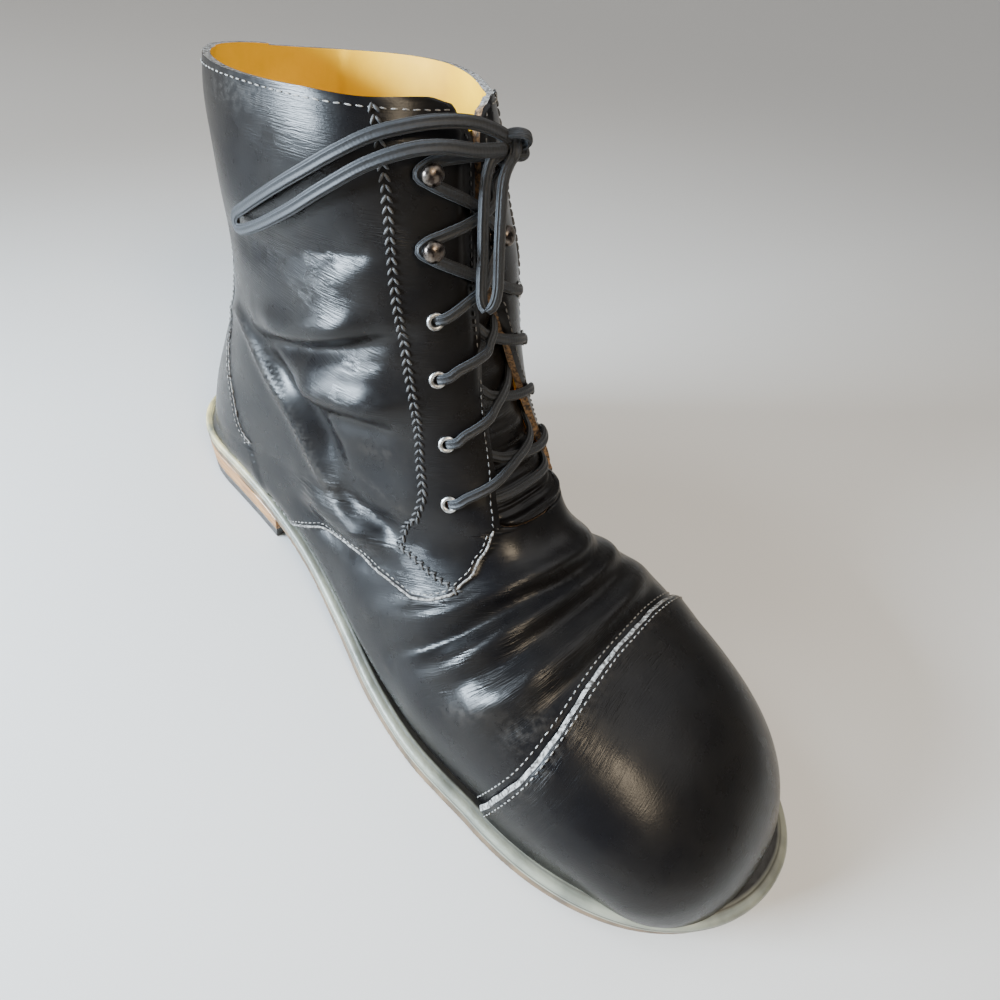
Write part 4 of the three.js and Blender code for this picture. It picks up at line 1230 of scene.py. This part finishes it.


# %% Welt: outset, height over the feather line, tone (0 dark, 1 pale); the dark tone in the grooves is painted shade and the pale tone on the lower edge a painted highlight
WELT_PROFILE = np.array([
    (-13, -0.4, 0), (-4.9, -0.1, 0), (-4.1, 0.25, 0.1), (-3.3, 0.35, 0.55),
    (-2.9, 0.1, 0.2), (-2.6, -0.15, 0.5), (-2.1, -0.05, 0.95), (-1.2, -0.1, 1),
    (-0.5, -0.45, 1), (-0.1, -1.0, 0.9), (0, -1.7, 0.75), (-0.05, -2.2, 0.35),
    (-0.45, -2.45, 0), (-0.05, -2.75, 0.5), (0, -3.3, 1), (-0.1, -3.9, 0.9),
    (-0.6, -4.3, 0.2), (-13, -4.4, 0), (-13, -2.4, 0), (-13, -0.4, 0),
])
welt_line, welt_out = outline(2.0)
wave = 0.10 * np.sin(np.arange(len(welt_line)) * 2 * np.pi * 9 / (len(welt_line) - 1))
outset, rise = WELT_PROFILE[:, 0], WELT_PROFILE[:, 1]
welt_xy = welt_line[:, None] + welt_out[:, None] * outset[None, :, None]
welt_z = feather_z(welt_line[:, 0])[:, None] + rise + wave[:, None] * (outset > -6) * (rise > -2)
welt = lay_grid(len(WELT_PROFILE), len(welt_line), np.concatenate([welt_xy, welt_z[..., None]], -1))
add_attribute(welt, "tone", np.tile(WELT_PROFILE[:, 2], len(welt_line)))
merge(welt)
face_outward(welt)

welt_finish_with_painted_light, tree, shader = material_of("welt")
# Painted light: the welt's band is painted pale yellow at the heel, where warm light falls on it, and fades
# toward the toe to its own grey-green.
painted_heel_light_fade = span(tree, object_axis(tree, 0), -0.14, -0.06)
welt_band_colour_and_painted_light = mix_colour(tree, painted_heel_light_fade, (0.62, 0.50, 0.22), (0.21, 0.215, 0.165))
welt_band_colour_and_painted_light = mix_colour(tree, span(tree, object_noise(tree, 75, 5), 0.4, 0.66), welt_band_colour_and_painted_light, (0.105, 0.11, 0.088))
# Painted shade and highlight: the tone darkens the welt's grooves and lightens its lower edge.
tone = attribute(tree, "tone")
colour = mix_colour(tree, span(tree, tone, 0.1, 0.85), (0.022, 0.020, 0.017), welt_band_colour_and_painted_light)
dress(tree, shader, colour, 0.42, bump(tree, object_noise(tree, 500, 4), 0.00025, 0.7))
finish(welt, "welt_band", [welt_finish_with_painted_light], ["welt"])

# %% [markdown]
# ## Cut edges and seams
# The quarter lies over the vamp with a thin pale cut edge; the backstay has a narrower
# one. Stitches are short capsules of thread, one small shape repeated along each seam.
# The eyestay seam is different: a heavy dark chain of cord.


# %% Strips and stitches
STRIP = oval(1.1, 1.5, 8, 0.9)


def route_of(s, distance, lift=0.0):
    """A route's table, from its sections, distances and lifts."""
    return np.stack(np.broadcast_arrays(s, distance, lift), 1)


def quarter_route(side, start, end, inset, lift=0.0):
    """Along the quarter's lower edge, moved onto the quarter by the inset."""
    distance = np.linspace(start, end, 70) * (1 if side == LATERAL else -1)
    s = quarter_section(distance)
    here, _ = leather(s, distance)
    step = np.gradient(here, axis=0)
    step /= np.linalg.norm(step, axis=1, keepdims=True)
    back_s, _ = leather(s - 0.05, distance)
    back_d, _ = leather(s, distance - np.sign(distance) * 0.5)
    toward = (back_s - here) - step * np.sum((back_s - here) * step, axis=1, keepdims=True)
    speed = np.maximum(np.linalg.norm(toward, axis=1) / 0.05, 3.0)
    sideways = (back_d - here) - step * np.sum((back_d - here) * step, axis=1, keepdims=True)
    slide = np.linalg.norm(sideways, axis=1) / 0.5
    steep = smooth(slide, 0.5, 0.9)
    new_s = s - inset * (1 - steep) / speed
    new_d = distance + np.sign(distance) * inset * steep
    return route_of(new_s, new_d, lift)


def stitch_row(piece_name, finish_used, rows, spacing, length, thick, stands_out=0.15, slant=0.0):
    """Rows of stitches as one piece: each row is a route of (section, distance, lift)."""
    bpy.ops.object.select_all(action="DESELECT")
    bpy.ops.mesh.primitive_uv_sphere_add(segments=6, ring_count=4, radius=0.5)
    seed = bpy.context.object
    shape = np.array([v.co for v in seed.data.vertices])
    shape_faces = [list(f.vertices) for f in seed.data.polygons]
    bpy.ops.object.delete()
    points, faces, marks = [], [], []
    for route in rows:
        places, outs = on_skin(route, spacing)
        ahead = np.gradient(places, axis=0)
        ahead /= np.linalg.norm(ahead, axis=1, keepdims=True)
        side = np.cross(outs, ahead)
        for place, forward_way, side_way, out_way in zip(places, ahead, side, outs):
            tilt = slant + rng.normal(0, 0.06)
            way = forward_way * math.cos(tilt) + side_way * math.sin(tilt)
            cross = np.cross(out_way, way)
            size = length * rng.uniform(0.88, 1.06)
            body = shape[:, 2:] * size * way
            body = body + shape[:, :1] * thick * cross + shape[:, 1:2] * thick * out_way
            start = sum(len(p) for p in points)
            points.append(place + out_way * stands_out + body)
            faces += [[start + v for v in face] for face in shape_faces]
            marks.append(np.stack([np.full(len(shape), len(points) * spacing), shape[:, 2] + 0.5], 1))
    piece = mesh_piece([(np.vstack(points), faces, np.vstack(marks))])
    return finish(piece, piece_name, [finish_used], angle=80)


def strip_piece(piece_name, finish_used, rows, profile):
    """Narrow strips along routes on the worn leather."""
    parts = []
    for route in rows:
        places, outs = on_skin(route, 1.2)
        ripple = rng.normal(0, 0.09, (len(places), 1))
        parts.append(sweep(places + outs * ripple, outs, profile))
    piece = mesh_piece(parts)
    add_attribute(piece, "facing", np.zeros(len(piece.data.vertices)))
    return finish(piece, piece_name, [finish_used])


# %% Edges of quarter and backstay
strip_piece("quarter_edge", edge, [
    quarter_route(LATERAL, 22.5, 148, 0.2, -0.35), quarter_route(MEDIAL, 33, 150, 0.2, -0.35)], STRIP)


def backstay_route(side, start, end, inset, lift):
    s = np.linspace(start, end, 60)
    sign = 1 if side == LATERAL else -1
    return route_of(s, sign * (backstay_distance(s, side) + inset), lift)


strip_piece("backstay_edge", edge, [
    backstay_route(LATERAL, 0.15, 12.6, 0, -0.1),
    backstay_route(MEDIAL, 0.15, 12.6, 0, -0.1),
], oval(0.8, 0.9, 6, 0.9))

# %% Fine stitches
FINE_STITCH = (2.5, 1.7, 0.5)       # spacing, length, thickness
collar_d = np.linspace(12, float(run_length(0.2, LATERAL)) - 2, 60)
collar_rows = [route_of(0.19, collar_d), route_of(0.19, -collar_d)]
stitch_row("stitches_collar", pale_thread, collar_rows, 3.1, 2.2, 0.55)
stitch_row("stitches_quarter", pale_thread, [
    quarter_route(LATERAL, 24, 146, 1.9), quarter_route(MEDIAL, 34, 148, 1.9)], *FINE_STITCH)
facing_s = np.linspace(0.35, 12.6, 60)
facing_rows = [
    route_of(facing_s, sign * (facing_edge(facing_s, side) + 2.6))
    for side, sign in ((LATERAL, 1), (MEDIAL, -1))]
stitch_row("stitches_facing", grey_thread, facing_rows, 2.6, 1.8, 0.55)
stitch_row("stitches_backstay", pale_thread, [
    backstay_route(LATERAL, 0.3, 12.4, 1.8, 0), backstay_route(MEDIAL, 0.3, 12.4, 1.8, 0)], *FINE_STITCH)
cap_inner, cap_outer = [], []
for fraction in np.linspace(-0.93, 0.93, 60):
    side = LATERAL if fraction > 0 else MEDIAL
    distance = float(run_length(CAP_SEAM, side)) * fraction
    seam = CAP_SEAM + 0.55 * float(smooth(abs(distance), 8, 66))
    cap_inner.append((seam - 0.11, distance, 0.0))
    cap_outer.append((seam + 0.16, distance, CAP + GAP + 0.65))
stitch_row("stitches_cap", pale_thread, [cap_inner, cap_outer], *FINE_STITCH)

# %% Heavy seam of the eyestay: a chain of dark cord
HEAVY_STITCH = (2.9, 3.0, 1.15, 0.25)   # spacing, length, thickness, how far it stands out
SLANT = 0.55
medial_eyestay = [(s, -d - (2 if s > 5 else 0)) for s, d in EYESTAY[:-1]]
heavy = []
for route in (EYESTAY, EYESTAY_FOOT, medial_eyestay):
    route = np.array(route)
    heavy += [route_of(route[:, 0], route[:, 1] - 0.8), route_of(route[:, 0], route[:, 1] + 0.8)]
stitch_row("eyestay_chain_a", dark_thread, heavy[::2], *HEAVY_STITCH, SLANT)
stitch_row("eyestay_chain_b", dark_thread, heavy[1::2], *HEAVY_STITCH, -SLANT)

# %% [markdown]
# ## Metal
# The eyelets are rolled nickel rings with a short barrel, the upper hooks are balls on a
# stem over a washer. Each kind is modelled once, at the origin and upright, and its mesh
# is then copied to every place, turned to the leather's outward direction.


# %% Metal finishes
def metal(name, colour, worn, roughness):
    made, tree, shader = material_of(name)
    spots = object_noise(tree, 500, 5)
    tone = mix_colour(tree, span(tree, spots, 0.42, 0.62), colour, worn)
    rough = span(tree, spots, 0.35, 0.65, roughness, roughness + 0.18)
    shader.inputs["Metallic"].default_value = 1.0
    dress(tree, shader, tone, rough, bump(tree, object_noise(tree, 1600, 3), 0.00004, 0.5))
    return made


nickel = metal("worn_nickel", (0.62, 0.62, 0.60), (0.22, 0.21, 0.20), 0.28)
bronze = metal("dark_bronze", (0.040, 0.033, 0.030), (0.16, 0.135, 0.115), 0.22)


# %% One eyelet and one hook, upright at the origin
RING_RADIUS, RING_THICK = 2.2, 0.72
WASHER_RADIUS, STEM_RADIUS, BALL_RADIUS, BALL_HEIGHT = 3.75, 1.4, 3.3, 4.9


def joined(parts):
    bpy.ops.object.select_all(action="DESELECT")
    for part in parts:
        part.select_set(True)
    bpy.context.view_layer.objects.active = parts[0]
    bpy.ops.object.join()
    return bpy.context.object


bpy.ops.object.select_all(action="DESELECT")
bpy.ops.mesh.primitive_torus_add(
    major_radius=RING_RADIUS, minor_radius=RING_THICK, major_segments=36, minor_segments=12)
eyelet_ring = bpy.context.object
bpy.ops.object.mode_set(mode="EDIT")
bpy.ops.mesh.select_all(action="SELECT")
bpy.ops.transform.resize(value=(1, 1, 0.72), center_override=(0, 0, 0))
bpy.ops.transform.translate(value=(0, 0, 0.45))
bpy.ops.object.mode_set(mode="OBJECT")
bpy.ops.mesh.primitive_cylinder_add(
    vertices=36, radius=EYELET_HOLE, depth=3.2, end_fill_type="NOTHING", location=(0, 0, -1.1))
barrel = bpy.context.object
wall = barrel.modifiers.new("wall", "SOLIDIFY")
wall.thickness = 0.25
bpy.ops.object.modifier_apply(modifier=wall.name)
eyelet_model = joined([eyelet_ring, barrel])

bpy.ops.object.select_all(action="DESELECT")
bpy.ops.mesh.primitive_cylinder_add(vertices=40, radius=WASHER_RADIUS, depth=0.9, location=(0, 0, 0.45))
washer = bpy.context.object
soft = washer.modifiers.new("soft", "BEVEL")
soft.width, soft.segments, soft.limit_method = 0.35, 3, "ANGLE"
bpy.ops.object.modifier_apply(modifier=soft.name)
bpy.ops.mesh.primitive_cylinder_add(vertices=24, radius=STEM_RADIUS, depth=3.4, location=(0, 0, 2.1))
stem = bpy.context.object
bpy.ops.mesh.primitive_uv_sphere_add(
    segments=40, ring_count=20, radius=BALL_RADIUS, location=(0, 0, BALL_HEIGHT))
ball = bpy.context.object
bpy.ops.object.mode_set(mode="EDIT")
bpy.ops.mesh.select_all(action="SELECT")
bpy.ops.transform.resize(value=(1, 1, 0.66), center_override=(0, 0, BALL_HEIGHT))
bpy.ops.object.mode_set(mode="OBJECT")
hook_model = joined([washer, stem, ball])


# %% Place the metal on the leather
def settle(model, name, s, distance, finish_used, stands_for):
    """A copy of the model, its own +Z turned to the leather's outward direction."""
    copy = model.copy()
    copy.data = model.data.copy()
    bpy.context.scene.collection.objects.link(copy)
    place, _ = skin(s, distance)
    _, out = leather(s, distance)
    turn = Vector((0, 0, 1)).rotation_difference(Vector(out.tolist())).to_matrix().to_4x4()
    own = model.matrix_world.copy()
    copy.data.transform(Matrix.Translation(Vector(to_row(place))) @ turn @ Matrix.Scale(MM, 4) @ own)
    copy.matrix_world = Matrix.Identity(4)
    return finish(copy, name, [finish_used], [stands_for], angle=40)


for side_name, sign, column in (("lateral", 1, 1), ("medial", -1, 2)):
    for i, row in enumerate(EYELETS):
        settle(eyelet_model, f"grommet_{side_name}_{i + 1}", row[0], sign * row[column],
               nickel, f"eyelet_{side_name}_{i + 1}")
    for i, row in enumerate(HOOKS):
        settle(hook_model, f"ball_hook_{side_name}_{i + 1}", row[0], sign * row[column],
               bronze, f"hook_{side_name}_{i + 1}")
bpy.ops.object.select_all(action="DESELECT")
eyelet_model.select_set(True)
hook_model.select_set(True)
bpy.ops.object.delete()

# %% [markdown]
# ## The lacing
# A bar lies on the tongue between the lowest eyelets. From there each end climbs in
# zigzag: out of an eyelet, over its own facing, across the gap, under the other facing
# and out of the next eyelet up. At the two hooks it goes round the stem under the ball.

# %% Braided lace
braid, tree, shader = material_of("braided_lace")
turns = attribute(tree, "round")
rib = maths(tree, "SINE", maths(tree, "MULTIPLY", turns, 2 * math.pi * 7))
length_at = attribute(tree, "run")
pitch = maths(tree, "MULTIPLY", length_at, 2 * math.pi / 0.0011)
twill = maths(tree, "ADD", pitch, maths(tree, "MULTIPLY", turns, 18.0))
cross_rib = maths(tree, "SINE", twill)
braid_relief = maths(tree, "ADD", maths(tree, "MULTIPLY", rib, 0.75), maths(tree, "MULTIPLY", cross_rib, 0.05))
fluff = object_noise(tree, 900, 4)
tint = mix_colour(tree, span(tree, fluff, 0.35, 0.7), (0.006, 0.0075, 0.010), (0.015, 0.018, 0.023))
# Painted shade: the grooves between the braid's ribs are painted darker than the ribs.
shade = mix_colour(tree, span(tree, braid_relief, -1, 1), (0.003, 0.0035, 0.005), tint)
shader.inputs["Sheen Weight"].default_value = 0.05
normal = bump(tree, braid_relief, 0.00032, 0.8)
dress(tree, shader, shade, 0.62, bump(tree, fluff, 0.0002, 0.5, normal))

# %% Zigzag between the eyelets
UNDER = -(WALL + 1.0)
STRAND = oval(3.7, 2.0, 14, 0.8)


def eyelet_strand(low, high, sign, over):
    """From the lower eyelet on one side to the upper eyelet on the other."""
    s0, own = low[0], low[1 if sign > 0 else 2]
    s1, other = high[0], high[2 if sign > 0 else 1]
    rise_s = s0 - s1
    own_edge = float(facing_edge(s0 - 0.35 * rise_s, LATERAL if sign > 0 else MEDIAL))
    other_edge = float(facing_edge(s1 + 0.25 * rise_s, MEDIAL if sign > 0 else LATERAL))
    return [
        (s0 + 0.02, sign * own, UNDER + 0.4),
        (s0, sign * (own - 0.2), -1.0),
        (s0 - 0.01 * rise_s, sign * (own - 0.6), 0.9),
        (s0 - 0.05 * rise_s, sign * (own - 3.4), 2.0),
        (s0 - 0.17 * rise_s, sign * (own * 0.6 + own_edge * 0.4), 1.9),
        (s0 - 0.34 * rise_s, sign * (own_edge + 1.0), 1.9),
        (s0 - 0.46 * rise_s, sign * own_edge * 0.45, 0.3 + over),
        (s0 - 0.60 * rise_s, -sign * other_edge * 0.3, -1.0 + over),
        (s0 - 0.74 * rise_s, -sign * other_edge * 0.9, -2.9),
        (s0 - 0.9 * rise_s, -sign * (other_edge + 4.5), UNDER - 0.4),
        (s1 + 0.03 * rise_s, -sign * (other - 2.5), UNDER - 0.3),
    ]


strands = []
for low, high in zip(EYELETS[:-1], EYELETS[1:]):
    for sign, over in ((1, 0.5), (-1, -0.6)):
        strands.append(eyelet_strand(low, high, sign, over))
bar_s = EYELETS[0][0]
strands.append([
    (bar_s, 33, -1.4), (bar_s + 0.02, 30, UNDER), (bar_s + 0.1, 18, UNDER + 0.2), (bar_s + 0.2, 6, -2.2),
    (bar_s + 0.2, -8, -2.2), (bar_s + 0.1, -26, UNDER + 0.2), (bar_s + 0.02, -36, UNDER), (bar_s, -39, -1.4),
])
zigzag = mesh_piece([sweep(*on_last(route, 0.8), STRAND) for route in strands])
crossings = ["lace_cross_1", "lace_cross_2", "lace_cross_3"]
finish(zigzag, "zigzag_laces", [braid], crossings)


# %% Round the hooks and up to the knot
def around(hook, sign, height):
    stem = sign * hook
    return [
        (0.22, stem - sign * 4.4, height), (0.13, stem - sign * 0.8, height + 0.1),
        (0.01, stem + sign * 2.8, height + 0.1), (-0.11, stem + sign * 0.6, height + 0.1),
        (-0.19, stem - sign * 3.8, height),
    ]


def hook_strand(sign, over):
    top = EYELETS[-1]
    first, second = HOOKS
    side = 1 if sign > 0 else 2
    other = 3 - side
    start = [
        (top[0] + 0.02, sign * top[side], UNDER + 0.4), (top[0], sign * (top[side] - 0.2), -1.0),
        (top[0] - 0.02, sign * (top[side] - 0.6), 0.9), (top[0] - 0.07, sign * (top[side] - 3.4), 2.0),
        (top[0] - 0.25, sign * 11, 2.0), (top[0] - 0.48, sign * 3, 1.4 + over),
    ]
    start += [(first[0] + s, d, lift) for s, d, lift in around(first[other], -sign, 2.4)]
    start.append((first[0] - 0.5, sign * 2, 1.8 - over))
    start += [(second[0] + s, d, lift) for s, d, lift in around(second[side], sign, 2.4)]
    return start + [
        (second[0] - 0.22, sign * min(second[side] - 7, 10), 4.0),
        (KNOT[0] + 0.04, KNOT[1] + sign * 4, 7.0), (KNOT[0] + 0.02, KNOT[1] + sign * 2, KNOT[2] - 0.8),
    ]


strands = [hook_strand(sign, over) for sign, over in ((1, 1.1), (-1, -0.6))]
hook_laces = mesh_piece([sweep(*on_last(route, 0.8), STRAND) for route in strands])
finish(hook_laces, "hook_laces", [braid], ["lace_cross_4", "lace_cross_5"])

# %% [markdown]
# The bow's loops and its knot are free cord, finished here in the braided lace.

for name, (piece, places) in loops.items():
    finish(piece, name, [braid], [name.replace("bow", "lace")])
finish(knot, "bow_knot", [braid], ["lace_knot"])

# %% [markdown]
# ## Floor and light
# The floor is one pale sheet that rises very gently far behind the boot, so that no edge
# shows. A low cool window makes the blue-white shine on the folds, a second one higher up
# lights the laces, a small warm lamp answers from the toe side, and a wide soft light
# keeps the floor even.

# %% Floor
bpy.ops.object.select_all(action="DESELECT")
bpy.ops.mesh.primitive_grid_add(x_subdivisions=60, y_subdivisions=60, size=30, location=(0, 0, 0))
floor = bpy.context.object
floor.name = "floor"
for vertex in floor.data.vertices:
    away = math.hypot(vertex.co.x, vertex.co.y)
    vertex.co.z = 0.07 * max(away - 4.0, 0.0) ** 2
bpy.ops.object.shade_smooth()
floor_finish, _, floor_shader = material_of("pale_floor")
floor_shader.inputs["Base Color"].default_value = (0.70, 0.69, 0.67, 1)
floor_shader.inputs["Roughness"].default_value = 0.7
floor.data.materials.append(floor_finish)


def soft_light(name, place, aim, size, power, colour):
    bpy.ops.object.light_add(type="AREA", location=place)
    light = bpy.context.object
    light.name = name
    light.data.shape = "RECTANGLE"
    light.data.size, light.data.size_y = size
    light.data.energy = power
    light.data.color = colour
    light.rotation_euler = (Vector(aim) - Vector(place)).to_track_quat("-Z", "Y").to_euler()
    return light


window = soft_light("window", (-0.42, -0.80, 0.30), (0.02, -0.03, 0.14), (0.36, 0.24), 9, (0.72, 0.86, 1.0))
window.data.spread = math.radians(70)
soft_light("high_window", (-0.60, -0.55, 0.80), (0, -0.03, 0.08), (0.3, 0.3), 5, (0.76, 0.88, 1.0))
soft_light("lamp", (0.70, -0.30, 0.85), (0.03, 0, 0.06), (0.25, 0.25), 8.0, (1.0, 0.82, 0.58))
bpy.ops.object.light_add(type="SUN", location=(0, 0, 2), rotation=(math.radians(-20), math.radians(16), 0))
wide = bpy.context.object
wide.name = "wide"
wide.data.energy = 1.35
wide.data.angle = math.radians(60)
wide.data.specular_factor = 0.25
world = bpy.data.worlds.new("room")
bpy.context.scene.world = world
world.use_nodes = True
world.node_tree.nodes["Background"].inputs["Color"].default_value = (0.82, 0.80, 0.77, 1)
world.node_tree.nodes["Background"].inputs["Strength"].default_value = 0.16
